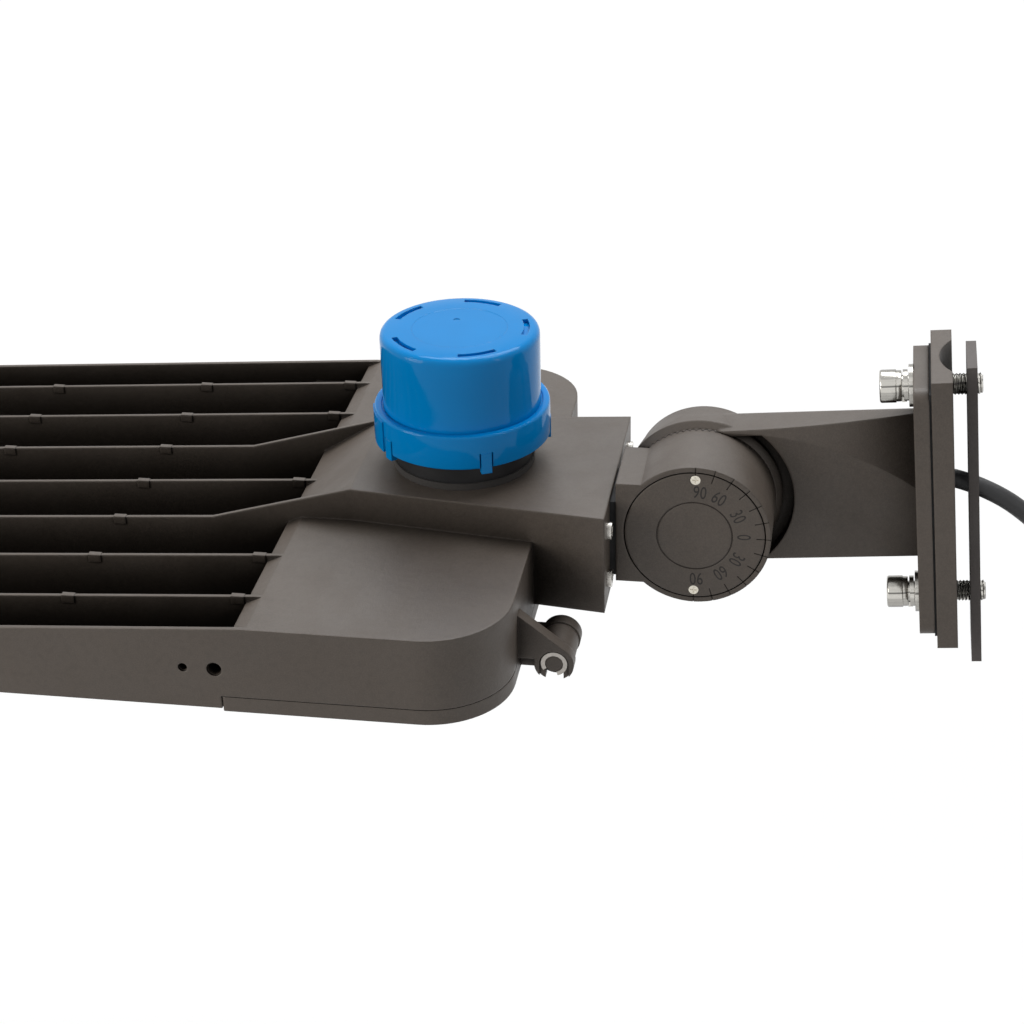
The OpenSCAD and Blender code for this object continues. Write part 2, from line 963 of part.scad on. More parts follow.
module arm() {
  flange_x = arm_reach - adapter_t - pole_gasket_t - flange_t;
  color("#5d554f")
    in_arm()
      difference() {
        union() {
          difference() {
            bar();
            // groove round the disc, roofed by a lip, and the disc's own place
            intersection() {
              y_rod(moat_r, bar_y - cut, bar_y + moat_t);
              translate([-moat_r, bar_y - cut, -bar_h / 2 - cut])
                cube([2 * moat_r, moat_t + 2 * cut, bar_h + cut - bar_lip]);
            }
            y_rod(knuckle_r + slip_gap, bar_y - cut, disc_y);
          }
          rotate([-90, 0, 0])
            rotate_extrude()
              union() {
                polygon([
                  [0, seam_y + tooth_t], [knuckle_r, seam_y + tooth_t], [disc_r, disc_y],
                  [disc_back_r, knuckle_half - disc_round],
                  [disc_back_r - disc_round, knuckle_half], [0, knuckle_half]
                ]);
                translate([disc_back_r - disc_round, knuckle_half - disc_round])
                  circle(r = disc_round);
              }
          toothed(knuckle_r - slip_gap, seam_y);
          // flange
          translate([flange_x, 0, arm_drop])
            rotate([90, 0, 90])
              linear_extrude(flange_t)
                union() {
                  square([flange_w, flange_h - 2 * flange_r], center = true);
                  square([flange_w - 2 * flange_r, flange_h], center = true);
                  for (sy = [-1, 1])
                    for (sz = [-1, 1])
                      translate([sy * (flange_w / 2 - flange_r), sz * (flange_h / 2 - flange_r)])
                        circle(r = flange_r);
                }
        }
        y_rod(pivot_r + run_gap, 0, knuckle_half + cut);
        translate([0, knuckle_half + cut, 0])
          rotate([90, 0, 0])
            cylinder(
              r = (nut_af + slip_gap) / 2 / cos(30), h = nut_out + nut_h + cut, $fn = 6
            );
        // wire duct and the pocket that leads it to the middle
        translate([duct_x, duct_y, -duct_drop])
          cube([arm_reach - duct_x, duct_w, duct_h]);
        translate([flange_x + flange_t / 2, -hand_hole_r, arm_drop + bush_z - hand_hole_r])
          cube([flange_t, hand_hole_r + duct_y + duct_w, 2 * hand_hole_r]);
        for (s = [-1, 1])
          translate([0, 0, arm_drop + s * bolt_pitch / 2])
            x_rod(bolt_r + bolt_slip, flange_x - cut, arm_reach);
      }
}

module pole_gasket() {
  x0 = -adapter_t - pole_gasket_t;
  color("#151515")
    difference() {
      translate([x0, -flange_w / 2 + pole_gasket_t, -flange_h / 2 + pole_gasket_t])
        cube([pole_gasket_t, flange_w - 2 * pole_gasket_t, flange_h - 2 * pole_gasket_t]);
      translate([x0 - cut, -hand_hole_r, bush_z - hand_hole_r])
        cube([2 * adapter_t, hand_hole_r + duct_y + duct_w, 2 * hand_hole_r]);
      for (s = [-1, 1])
        translate([0, 0, s * bolt_pitch / 2])
          x_rod(bolt_r + bolt_slip, x0 - cut, 0);
    }
}

module pole_adapter() {
  color("#5d554f")
    difference() {
      translate([-adapter_t, -flange_w / 2, -adapter_h / 2])
        cube([adapter_t, flange_w, adapter_h]);
      // hollow for a round pole
      translate([groove_r - groove_depth, 0, -adapter_h / 2 - cut])
        cylinder(r = groove_r, h = adapter_h + 2 * cut);
      translate([0, 0, bush_z])
        x_rod(bush_r, -adapter_t - cut, cut);
      for (s = [-1, 1])
        translate([0, 0, s * bolt_pitch / 2])
          x_rod(bolt_r + bolt_slip, -adapter_t - cut, cut);
    }
}

// Places of the mounting bolts
module bolt_places() {
  for (s = [-1, 1])
    translate([0, 0, s * bolt_pitch / 2])
      children();
}
seat_x = -adapter_t - pole_gasket_t - flange_t;

module mounting_bolts() {
  x0 = seat_x - m_washer_t - m_lock_t;
  color("#c9cccd")
    bolt_places()
      difference() {
        union() {
          x_rod(bolt_r, x0 - cut, 0);
          x_rod(bolt_r - thread_dip, -cut, pole_gap + cut);
          x_rod(bolt_r, pole_gap, pole_gap + backing_t + m_bolt_out);
          x_rod(m_head_r, x0 - m_head_h, x0);
        }
        translate([x0 - m_head_h - cut, 0, 0])
          rotate([0, 90, 0])
            cylinder(r = m_hex_r, h = hex_t + cut, $fn = 6);
      }
}

module bolt_lock_washers() {
  color("#c9cccd")
    bolt_places()
      difference() {
        x_rod(m_lock_r, seat_x - m_washer_t - m_lock_t, seat_x - m_washer_t);
        x_rod(bolt_r + run_gap, seat_x - 3 * m_lock_t, seat_x);
        translate([seat_x - 3 * m_lock_t, -m_lock_r, 0])
          cube([3 * m_lock_t, m_lock_r, m_lock_t / 3]);
      }
}

module bolt_washers() {
  color("#c9cccd")
    bolt_places()
      difference() {
        x_rod(m_washer_r, seat_x - m_washer_t, seat_x);
        x_rod(bolt_r + run_gap, seat_x - 2 * m_washer_t, seat_x + cut);
      }
}

module cord_bushing() {
  color("#1d1d1d")
    translate([0, 0, bush_z]) {
      x_rod(bush_r, -adapter_t, cord_route[0][0]);
      x_rod(bush_lip_r, -adapter_t - bush_lip_t, -adapter_t);
    }
}

module backing_plate() {
  color("#5b534d")
    difference() {
      translate([pole_gap, -backing_w / 2, -backing_h / 2 - backing_drop])
        cube([backing_t, backing_w, backing_h]);
      x_rod(backing_hole_r, pole_gap - cut, pole_gap + backing_t + cut);
      bolt_places()
        x_rod(bolt_r + run_gap, pole_gap - cut, pole_gap + backing_t + cut);
    }
}

module led_boards() {
  color("#e9ece6")
    in_head()
      for (k = [0, 1])
        module_at(k)
          translate([-board_l / 2, -board_w / 2, base_lo - board_t])
            cube([board_l, board_w, board_t]);
}

// Places of the light sources on the boards
module led_places() {
  for (k = [0, 1])
    module_at(k)
      for (i = [0 : led_nx - 1])
        for (j = [0 : led_ny - 1])
          translate([
            (i - (led_nx - 1) / 2) * board_l / led_nx, (j - (led_ny - 1) / 2) * board_w / led_ny, 0
          ])
            children();
}

module leds() {
  color("#f2d24a")
    in_head()
      led_places()
        translate([-led_w / 2, -led_w / 2, base_lo - board_t - led_t])
          cube([led_w, led_w, led_t]);
}

// One lens dome, hanging below its panel
dome_ball = (dome_r * dome_r + dome_h * dome_h) / (2 * dome_h);
module dome() {
  intersection() {
    translate([0, 0, optic_z - optic_t - dome_h + dome_ball])
      sphere(r = dome_ball);
    translate([0, 0, optic_z - optic_t - dome_h - cut])
      cylinder(r = 2 * dome_r, h = dome_h + optic_t);
  }
}

module lens_panels() {
  color("#dfe9ef")
    in_head()
      union() {
        for (k = [0, 1])
          module_at(k)
            translate([-opt_l / 2, -opt_w / 2, optic_z - optic_t])
              cube([opt_l, opt_w, optic_t]);
        led_places()
          dome();
      }
}

module lens_gaskets() {
  color("#2a2a2a")
    in_head()
      for (k = [0, 1])
        module_at(k)
          difference() {
            translate([-opt_l / 2, -opt_w / 2, optic_z])
              cube([opt_l, opt_w, base_lo - optic_z]);
            translate([-board_l / 2 - slip_gap, -board_w / 2 - slip_gap, optic_z - cut])
              cube([board_l + 2 * slip_gap, board_w + 2 * slip_gap, side_h]);
          }
}

module lens_frames() {
  color("#5d554f")
    in_head()
      difference() {
        for (k = [0, 1])
          module_at(k)
            difference() {
              slab(
                -frame_l / 2, frame_l / 2, frame_w / 2, frame_round, frame_round,
                frame_z, base_lo
              );
              translate([-opt_l / 2 - slip_gap, -opt_w / 2 - slip_gap, frame_z + frame_t])
                cube([opt_l + 2 * slip_gap, opt_w + 2 * slip_gap, side_h]);
              translate([-board_l / 2, -board_w / 2, frame_z - cut])
                cube([board_l, board_w, side_h]);
            }
        frame_places()
          translate([0, 0, frame_z - cut])
            cylinder(r = frame_screw_r + slip_gap / 2, h = side_h);
      }
}

module frame_screws() {
  color("#c3c6c8")
    in_head()
      frame_places() {
        translate([0, 0, frame_z])
          cylinder(r = frame_screw_r - run_gap, h = base_lo + base_t / 2 - frame_z);
        translate([0, 0, frame_z - frame_head_t])
          cylinder(r = frame_head_r, h = frame_head_t);
      }
}

module led_driver() {
  color("#d8d9d6")
    in_head()
      translate([driver_x, driver_y, -roof_t])
        difference() {
          union() {
            translate([-driver_w / 2, -driver_l / 2 + lug_w, -driver_h])
              cube([driver_w, driver_l - 2 * lug_w, driver_h]);
            translate([-driver_w / 2, -driver_l / 2, -lug_t])
              cube([driver_w, driver_l, lug_t]);
          }
          for (s = [-1, 1])
            translate([0, s * (driver_l - lug_w) / 2, -lug_t - cut])
              cylinder(r = frame_screw_r + run_gap, h = lug_t + 2 * cut);
        }
}

module driver_screws() {
  color("#c3c6c8")
    in_head()
      driver_screw_places()
        translate([0, 0, -lug_t]) {
          cylinder(r = frame_screw_r, h = lug_t + roof_t / 3);
          translate([0, 0, -frame_head_t])
            cylinder(r = frame_head_r, h = frame_head_t);
        }
}

module surge_protector() {
  color("#c9443a")
    in_head()
      translate([surge_x - surge_w / 2, surge_y - surge_l / 2, -roof_t - surge_h])
        cube([surge_w, surge_l, surge_h]);
}

module terminal_block() {
  color("#ececea")
    in_head()
      translate([block_x - block_w / 2, block_y - block_l / 2, -roof_t - block_h])
        difference() {
          cube([block_w, block_l, block_h]);
          for (i = [0 : block_n - 1])
            translate([block_w / 2, (i + 1 / 2) * block_l / block_n, -cut])
              cylinder(r = frame_head_r + slip_gap, h = block_h / 2 + cut);
        }
}

module terminal_screws() {
  color("#c8a75a")
    in_head()
      for (i = [0 : block_n - 1])
        translate([
          block_x, block_y - block_l / 2 + (i + 1 / 2) * block_l / block_n,
          -roof_t - block_h / 2 - frame_head_t
        ])
          difference() {
            cylinder(r = frame_head_r, h = frame_head_t);
            translate([-frame_head_r, -mark_w / 2, -cut])
              cube([2 * frame_head_r, mark_w, 2 * cut]);
          }
}

// The frame of the receptacle and cap, at the spine's top
module at_cap() {
  in_head()
    translate([-cap_gap, 0, spine_h])
      children();
}
socket_top = socket_pad_t + socket_h;
base_z = socket_top + cap_pad_t;
skirt_z = socket_pad_t + skirt_lift;
cap_z = skirt_z + skirt_h;

module receptacle_gasket() {
  color("#3a3a3a")
    at_cap()
      ring(socket_r + pole_gasket_t, stem_r + slip_gap, socket_pad_t);
}

// The three twist slots, as places
module slot_places() {
  for (a = [0, 120, 240])
    rotate([0, 0, a])
      children();
}

module receptacle() {
  color("#161616")
    at_cap()
      difference() {
        union() {
          translate([0, 0, socket_pad_t])
            cylinder(r = socket_r, h = socket_h);
          translate([0, 0, -stem_l])
            cylinder(r = stem_r, h = stem_l + socket_pad_t);
        }
        translate([0, 0, -stem_l - cut])
          cylinder(r = stem_hole_r, h = stem_l);
        slot_places()
          translate([0, 0, socket_top - slot_depth])
            arc_ring(slot_r + slot_t / 2, slot_r - slot_t / 2, slot_depth + cut, slot_turn);
      }
}

module receptacle_contacts() {
  color("#c8a75a")
    at_cap()
      slot_places()
        translate([0, 0, socket_top - slot_depth])
          arc_ring(
            slot_r + slot_t / 2, slot_r + slot_t / 2 - contact_t, contact_l,
            slot_turn - blade_turn / 2
          );
}

module cap_gasket() {
  color("#4a4a4a")
    at_cap()
      translate([0, 0, socket_top])
        ring(socket_r - wall / 2, slot_r + slot_t, cap_pad_t);
}

module cap_base() {
  color("#20262c")
    at_cap()
      translate([0, 0, base_z])
        cylinder(r = cap_r - cap_wall, h = cap_base_t);
}

module cap_blades() {
  color("#d2b468")
    at_cap()
      slot_places()
        translate([0, 0, base_z - blade_l])
          rotate([0, 0, (blade_turn - slot_turn) / 2 + blade_stop])
            arc_ring(
              slot_r + blade_t / 2 - contact_t, slot_r - blade_t / 2 - contact_t, blade_l, blade_turn
            );
}

module shorting_cap() {
  color("#0e62a8")
    at_cap()
      difference() {
        union() {
          // body with its eased top edge
          rotate_extrude()
            union() {
              translate([0, skirt_z + skirt_h - skirt_lap])
                square([cap_r, cap_h + skirt_lap - cap_round]);
              translate([0, skirt_z + skirt_h - skirt_lap])
                square([cap_r - cap_round, cap_h + skirt_lap]);
              translate([cap_r - cap_round, cap_z + cap_h - cap_round])
                circle(r = cap_round);
            }
          // skirt
          translate([0, 0, skirt_z])
            cylinder(r = skirt_r - skirt_step, h = skirt_h - skirt_step);
          translate([0, 0, skirt_z + skirt_step])
            cylinder(r = skirt_r, h = skirt_h / 2);
          for (i = [0 : tab_n - 1])
            rotate([0, 0, i * 360 / tab_n])
              translate([cap_r, -tab_w / 2, skirt_z - tab_drop])
                cube([skirt_r - cap_r + tab_t, tab_w, tab_h]);
          rotate([0, 0, rib_at])
            translate([0, 0, skirt_z])
              arc_ring(skirt_r + rib_t, cap_r, skirt_h, rib_turn);
        }
        // slits beside the tabs
        for (i = [0 : tab_n - 1])
          for (s = [-1, 1])
            rotate([0, 0, i * 360 / tab_n])
              translate([0, s * (tab_w + slit_w) / 2 - slit_w / 2, skirt_z - tab_drop - cut])
                cube([2 * skirt_r, slit_w, tab_drop + cut + slit_h]);
        translate([0, 0, skirt_z - tab_drop - cut])
          cylinder(r = cap_r - cap_wall + skirt_gap, h = base_z - skirt_z + tab_drop + cut + skirt_gap);
        translate([0, 0, base_z - cut])
          cylinder(r = cap_r - cap_wall, h = cap_z + cap_h - base_z - cap_wall + cut);
        // arc slots in the top and the moulding mark
        for (i = [0 : tab_n - 1])
          rotate([0, 0, i * 360 / tab_n])
            translate([0, 0, cap_z + cap_h - vent_t])
              arc_ring(vent_r + vent_w / 2, vent_r - vent_w / 2, vent_t + cut, vent_turn);
        translate([0, 0, cap_z + cap_h - gate_t])
          cylinder(r = gate_r, h = gate_t + cut);
      }
}

// The hinge arm of the door, from its rear edge to the pin
barrel_y = ear_y - ear_t - ear_gap - barrel_l / 2;
module door_arm(y) {
  side_shape(y, barrel_l)
    difference() {
      union() {
        translate([-pin_gap, pin_z])
          circle(r = boss_r - ear_gap - slip_gap);
        translate([rear_x - wall, pin_z - arm_t + cut])
          square([rear_gap + wall - pin_gap, arm_t]);
      }
      translate([-pin_gap, pin_z])
        circle(r = pin_r + run_gap / 2);
    }
}

// The groove of the door's seal, round the rim and along the front land
door_top = part_z - slip_gap;
door_low = door_top - door_t;
module door_seal(z1) {
  z0 = door_top - door_seal_t;
  difference() {
    slab(
      door_x + ledge_w - seal_in - door_seal_w, rear_x - seal_in, half_w - seal_in,
      wall / 2, corner_r - seal_in, z0, z1
    );
    slab(
      door_x + ledge_w - seal_in, rear_x - seal_in - door_seal_w,
      half_w - seal_in - door_seal_w, wall / 2, corner_r - seal_in - door_seal_w,
      z0 - cut, z1 + cut
    );
  }
}

module driver_door() {
  color("#5d554f")
    in_head()
      difference() {
        union() {
          difference() {
            slab(door_x + slip_gap, rear_x, half_w, door_edge, corner_r, door_low, door_top);
            slab(
              door_x + ledge_w, rear_x - wall, half_w - wall, wall / 2, corner_r - wall,
              door_low + door_skin, door_top + cut
            );
          }
          both()
            door_arm(-barrel_y);
        }
        door_seal(door_top + cut);
        both()
          translate([0, 0, door_low - part_z])
            door_screw_place() {
              cylinder(r = door_screw_r + run_gap, h = 2 * door_t);
              cylinder(r = door_head_r + slip_gap, h = door_head_t + cut);
            }
      }
}

module door_gasket() {
  color("#202020")
    in_head()
      door_seal(part_z);
}

module door_screws() {
  color("#c3c6c8")
    in_head()
      both()
        translate([0, 0, door_low - part_z + cut])
          door_screw_place() {
            cylinder(r = door_screw_r, h = door_t + door_screw_l / 2);
            difference() {
              cylinder(r = door_head_r, h = door_head_t);
              translate([0, 0, -cut])
                cylinder(r = door_screw_r, h = door_head_t / 2 + cut, $fn = 6);
            }
          }
}

module hinge_pins() {
  color("#5d554f")
    in_head()
      both()
        translate([-pin_gap, 0, pin_z])
          y_rod(pin_r, -ear_y + clip_t / 2, -ear_y + 2 * ear_t + barrel_l + 2 * ear_gap);
}

module hinge_clips() {
  color("#d5d7d8")
    in_head()
      both()
        translate([-pin_gap, -ear_y + clip_well_t - slip_gap / 3, pin_z])
          rotate([90, 0, 0])
            rotate([0, 0, clip_turn])
              arc_ring(clip_r, pin_r + run_gap, clip_t, 360 - clip_turn);
}

// Unit vector, and the frame of a ring square to a direction
function unit(v) = v / norm(v);
function side_of(d) = unit(cross(d, abs(d[1]) < 0.9 ? [0, 1, 0] : [1, 0, 0]));
function ring_at(p, d, r, n) =
  let (s = side_of(d), u = cross(s, d))
    [for (i = [0 : n - 1]) p + r * (cos(360 * i / n) * s + sin(360 * i / n) * u)];
function along(path, i) =
  i == 0 ? unit(path[1] - path[0])
  : i == len(path) - 1 ? unit(path[i] - path[i - 1])
  : unit(unit(path[i + 1] - path[i]) + unit(path[i] - path[i - 1]));

// A tube swept along a path, closed with triangles only
module tube(path, r, n) {
  m = len(path);
  points = [
    for (i = [0 : m - 1]) each ring_at(path[i], along(path, i), r, n),
    path[0], path[m - 1]
  ];
  faces = [
    for (i = [0 : m - 2])
      for (j = [0 : n - 1])
        let (a = i * n + j, b = i * n + (j + 1) % n)
          each [[a, b, b + n], [a, b + n, a + n]],
    for (j = [0 : n - 1])
      [m * n, (j + 1) % n, j],
    for (j = [0 : n - 1])
      [m * n + 1, (m - 1) * n + j, (m - 1) * n + (j + 1) % n]
  ];
  polyhedron(points, faces);
}

// Smooth curve through the route's points, with a ring about every third of a step
route_fine = 2;
function bend(p0, p1, p2, p3, t) =
  (2 * p1 + (p2 - p0) * t + (2 * p0 - 5 * p1 + 4 * p2 - p3) * t * t
  + (3 * p1 - p0 - 3 * p2 + p3) * t * t * t) / 2;
function smooth(q) = [
  for (i = [0 : len(q) - 2])
    for (k = [0 : route_fine - 1])
      bend(
        q[max(i - 1, 0)], q[i], q[i + 1], q[min(i + 2, len(q) - 1)], k / route_fine
      ),
  q[len(q) - 1]
];

// The coil: loops about X that start and end hanging straight down
coil_turn = 360 * coil_n;
coil_path = [
  [coil_x, coil_r, coil_z],
  for (i = [0 : coil_n * coil_rings])
    let (a = coil_turn * i / (coil_n * coil_rings))
      [
        coil_x + coil_pitch * a / 360, coil_r * cos(a),
        coil_z - cord_d - coil_r * sin(a)
      ],
  [coil_x + coil_pitch * coil_n, coil_r, coil_z - 2 * cord_d]
];

// Least gap between two stretches of the coil that lie more than half a loop apart
coil_gap = min([
  for (i = [0 : len(coil_path) - 1])
    for (j = [i + coil_rings / 2 : len(coil_path) - 1])
      norm(coil_path[i] - coil_path[j])
]) - cord_d;
echo(coil_least_gap = coil_gap);
coil_end = coil_path[len(coil_path) - 1];

module cord() {
  color("#141414")
    tube(smooth(cord_route), cord_d / 2, cord_sides);
}

module cord_coil() {
  color("#141414")
    tube(coil_path, cord_d / 2, coil_sides);
}

module coil_tie() {
  tie_x = coil_x + coil_pitch * coil_n / 2;
  tie_l = coil_pitch * (coil_n - 1) + cord_d + 2 * face_gap;
  color("#f0f0ee")
    translate([tie_x, -coil_r, coil_z - cord_d])
      difference() {
        cube([tie_l + 2 * tie_t, cord_d + 2 * face_gap + 2 * tie_t, tie_w], center = true);
        cube([tie_l, cord_d + 2 * face_gap, 2 * tie_w], center = true);
      }
}

tail_path = [for (p = smooth(tail_route)) coil_end + p];
tail_end = tail_path[len(tail_path) - 1];
module cord_tail() {
  color("#141414")
    tube(tail_path, cord_d / 2, cord_sides);
}

// The three wires out of the cord's jacket
module lead_places() {
  for (i = [0 : 2])
    translate(tail_end)
      rotate([0, 0, 120 * i])
        translate([lead_at, 0, 0])
          children();
}
module lead_wires() {
  color("#2f6f45")
    lead_places()
      translate([0, 0, -lead_l])
        cylinder(r = lead_r, h = lead_l);
}
module lead_ends() {
  color("#b8734a")
    lead_places()
      translate([0, 0, -lead_l - lead_bare_l])
        cylinder(r = lead_bare_r, h = lead_bare_l);
}

arm();
pole_gasket();
pole_adapter();
mounting_bolts();
bolt_lock_washers();
bolt_washers();
cord_bushing();
pivot_bolt();
pivot_washer();
pivot_lock_washer();
pivot_nut();
backing_plate();
housing();
knuckle();
knuckle_gasket();
knuckle_screws();
neck_plate();
neck_screws();
dial_cover();
dial_screws();
led_boards();
leds();
lens_panels();
lens_gaskets();
lens_frames();
frame_screws();
led_driver();
driver_screws();
surge_protector();
terminal_block();
terminal_screws();
receptacle_gasket();
receptacle();
receptacle_contacts();
cap_gasket();
shorting_cap();
cap_base();
cap_blades();
driver_door();
door_gasket();
door_screws();
hinge_pins();
hinge_clips();
cord();
cord_coil();
coil_tie();
cord_tail();
lead_wires();
lead_ends();
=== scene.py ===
import json
import math

import bmesh
import bpy
from mathutils import Matrix, Vector


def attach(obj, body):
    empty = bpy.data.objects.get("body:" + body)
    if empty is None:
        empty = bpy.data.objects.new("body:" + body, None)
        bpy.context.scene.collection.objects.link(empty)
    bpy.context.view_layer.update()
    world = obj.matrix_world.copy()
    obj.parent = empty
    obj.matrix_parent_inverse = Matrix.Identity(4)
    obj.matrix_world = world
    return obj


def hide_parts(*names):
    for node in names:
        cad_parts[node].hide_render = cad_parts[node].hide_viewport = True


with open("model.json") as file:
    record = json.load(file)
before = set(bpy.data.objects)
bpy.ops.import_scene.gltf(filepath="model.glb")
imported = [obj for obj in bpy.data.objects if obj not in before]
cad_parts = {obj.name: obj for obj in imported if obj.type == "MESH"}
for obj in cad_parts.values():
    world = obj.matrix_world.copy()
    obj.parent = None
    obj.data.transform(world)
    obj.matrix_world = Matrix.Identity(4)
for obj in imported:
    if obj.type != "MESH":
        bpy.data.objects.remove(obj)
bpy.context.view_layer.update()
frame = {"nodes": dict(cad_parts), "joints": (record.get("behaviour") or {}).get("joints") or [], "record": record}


# Places, in metres and in the CAD frame: at rest the head leans by 5 degrees on the arm
MM = 0.001
JOINTS = {joint["name"]: joint for joint in frame["joints"]}
MOUNTS = {mount["name"]: mount for mount in frame["record"]["mounts"]}
LEAN = Matrix.Rotation(math.radians(5), 4, "Y")
ARM = Matrix.Translation(JOINTS["tilt"]["pos_m"])
HEAD = ARM @ LEAN
CAP = Matrix.Translation(JOINTS["receptacle_turn"]["pos_m"]) @ LEAN

# Camera
# In the head's frame: its turn, height and roll in degrees, its place in metres, its lens
CAMERA_TURN = (9.987, 28.518, -1.594)
CAMERA_ASIDE = (-0.0891, -0.0054)
CAMERA_BACK = 1.037
FOCAL_PIXELS = 2198
PICTURE_PIXELS = 1024
SENSOR_MM = 36


def add_camera():
    """Looks at the neck of the head from the front and above."""
    az, el, roll = (math.radians(v) for v in CAMERA_TURN)
    back = Vector((math.sin(az) * math.cos(el), -math.cos(az) * math.cos(el), math.sin(el)))
    right = Vector((math.cos(az), math.sin(az), 0))
    up = back.cross(right)
    right, up = (
        math.cos(roll) * right + math.sin(roll) * up,
        -math.sin(roll) * right + math.cos(roll) * up,
    )
    m = Matrix((right, up, back)).transposed().to_4x4()
    m.translation = CAMERA_ASIDE[0] * right + CAMERA_ASIDE[1] * up + CAMERA_BACK * back
    data = bpy.data.cameras.new("camera")
    data.sensor_width = SENSOR_MM
    data.lens = FOCAL_PIXELS / PICTURE_PIXELS * SENSOR_MM
    data.clip_start = 0.05
    data.clip_end = 60
    cam = bpy.data.objects.new("camera", data)
    bpy.context.collection.objects.link(cam)
    cam.matrix_world = HEAD @ m
    bpy.context.scene.camera = cam


add_camera()


# Mesh helpers
def link(name, mesh):
    """Puts a mesh into the scene as an object."""
    ob = bpy.data.objects.new(name, mesh)
    bpy.context.collection.objects.link(ob)
    return ob


def shade_smooth(mesh, degrees):
    """Shades a mesh smoothly, with edges that are sharp past an angle."""
    for p in mesh.polygons:
        p.use_smooth = True
    mesh.set_sharp_from_angle(angle=math.radians(degrees))


def mesh_from(name, verts, faces, sharp=35):
    """A mesh out of points and faces, with double points merged and faces turned outwards."""
    mesh = bpy.data.meshes.new(name)
    mesh.from_pydata([tuple(v) for v in verts], [], faces)
    mesh.validate()
    bm = bmesh.new()
    bm.from_mesh(mesh)
    bmesh.ops.remove_doubles(bm, verts=bm.verts, dist=1e-7)
    bmesh.ops.recalc_face_normals(bm, faces=bm.faces)
    bm.to_mesh(mesh)
    bm.free()
    shade_smooth(mesh, sharp)
    return mesh


def polar(r, a, z, place):
    """A point at a radius, an angle and a height along local Z, in millimetres."""
    return place @ Vector((r * MM * math.cos(a), r * MM * math.sin(a), z * MM))


def around(n, m, closed=True):
    """Faces between n profiles of m points each that stand in a circle."""
    faces = []
    for i in range(n):
        for j in range(m if closed else m - 1):
            a, b = i * m + j, i * m + (j + 1) % m
            c, d = ((i + 1) % n) * m + (j + 1) % m, ((i + 1) % n) * m + j
            faces.append((a, b, c, d))
    return faces


def tube(rows, n, ends=True):
    """Faces between rows + 1 rings of n points each, with a face on both ends or open."""
    faces = []
    for i in range(rows):
        for j in range(n):
            a, b = i * n + j, i * n + (j + 1) % n
            faces.append((a, b, b + n, a + n))
    if ends:
        faces.append(tuple(reversed(range(n))))
        faces.append(tuple(rows * n + j for j in range(n)))
    return faces


def lathe(profile, n, place, closed=True):
    """Turns a profile of (radius, height) in millimetres about Z, closed on itself or open."""
    verts = [polar(r, 2 * math.pi * i / n, z, place) for i in range(n) for r, z in profile]
    return verts, around(n, len(profile), closed)


def thread(r, depth, pitch, length, place, n, rows, power=1.0, tip=0.0):
    """Rings of points of a helical thread along local Z, narrower by tip at the far end."""
    verts = []
    for i in range(rows + 1):
        z = length * i / rows
        narrow = tip * max(0.0, 1.0 - (length - z))
        for j in range(n):
            t = (z / pitch - j / n) % 1.0
            groove = depth * (1 - abs(2 * t - 1)) ** power
            verts.append(polar(r - groove - narrow, 2 * math.pi * j / n, z, place))
    return verts


def join(name, parts):
    """One object out of several lists of points and faces."""
    verts, faces = [], []
    for v, f in parts:
        base = len(verts)
        verts += v
        faces += [tuple(i + base for i in g) for g in f]
    return link(name, mesh_from(name, verts, faces))


def cut_with(ob, cutters):
    """Applies boolean cuts and joins, and removes the pieces that they used."""
    for c, op in cutters:
        mod = ob.modifiers.new("cut", "BOOLEAN")
        mod.operation = op
        mod.solver = "EXACT"
        mod.object = c
    bpy.context.view_layer.update()
    deps = bpy.context.evaluated_depsgraph_get()
    mesh = bpy.data.meshes.new_from_object(ob.evaluated_get(deps))
    ob.modifiers.clear()
    ob.data = mesh
    for c, _ in cutters:
        bpy.data.objects.remove(c)
    shade_smooth(mesh, 30)


def prism(name, outline, z0, z1, place):
    """A prism over an outline in millimetres."""
    n = len(outline)
    verts = [place @ Vector((x * MM, y * MM, z * MM)) for z in (z0, z1) for x, y in outline]
    faces = [tuple(range(n - 1, -1, -1)), tuple(range(n, 2 * n))]
    for i in range(n):
        j = (i + 1) % n
        faces.append((i, j, n + j, n + i))
    return link(name, mesh_from(name, verts, faces))


def arc_outline(r0, r1, a0, a1, n=14):
    """The outline of an arc-shaped bar between two radii and two angles."""
    out = []
    for i in range(n + 1):
        a = a0 + (a1 - a0) * i / n
        out.append((r1 * math.cos(a), r1 * math.sin(a)))
    for i in range(n + 1):
        a = a1 - (a1 - a0) * i / n
        out.append((r0 * math.cos(a), r0 * math.sin(a)))
    return out


# Materials
def rgb(hexa):
    """A colour written as six hex digits, as linear red, green, blue and alpha."""
    out = []
    for i in (0, 2, 4):
        v = int(hexa[i:i + 2], 16) / 255
        out.append(v / 12.92 if v <= 0.04045 else ((v + 0.055) / 1.055) ** 2.4)
    return tuple(out) + (1.0,)


def add_node(tree, kind, **values):
    """Adds a node: a value goes to the input of that name, or else to the node's own setting."""
    node = tree.nodes.new(kind)
    for key, value in values.items():
        socket = key.replace("_", " ")
        if socket in node.inputs:
            node.inputs[socket].default_value = value
        else:
            setattr(node, key, value)
    return node


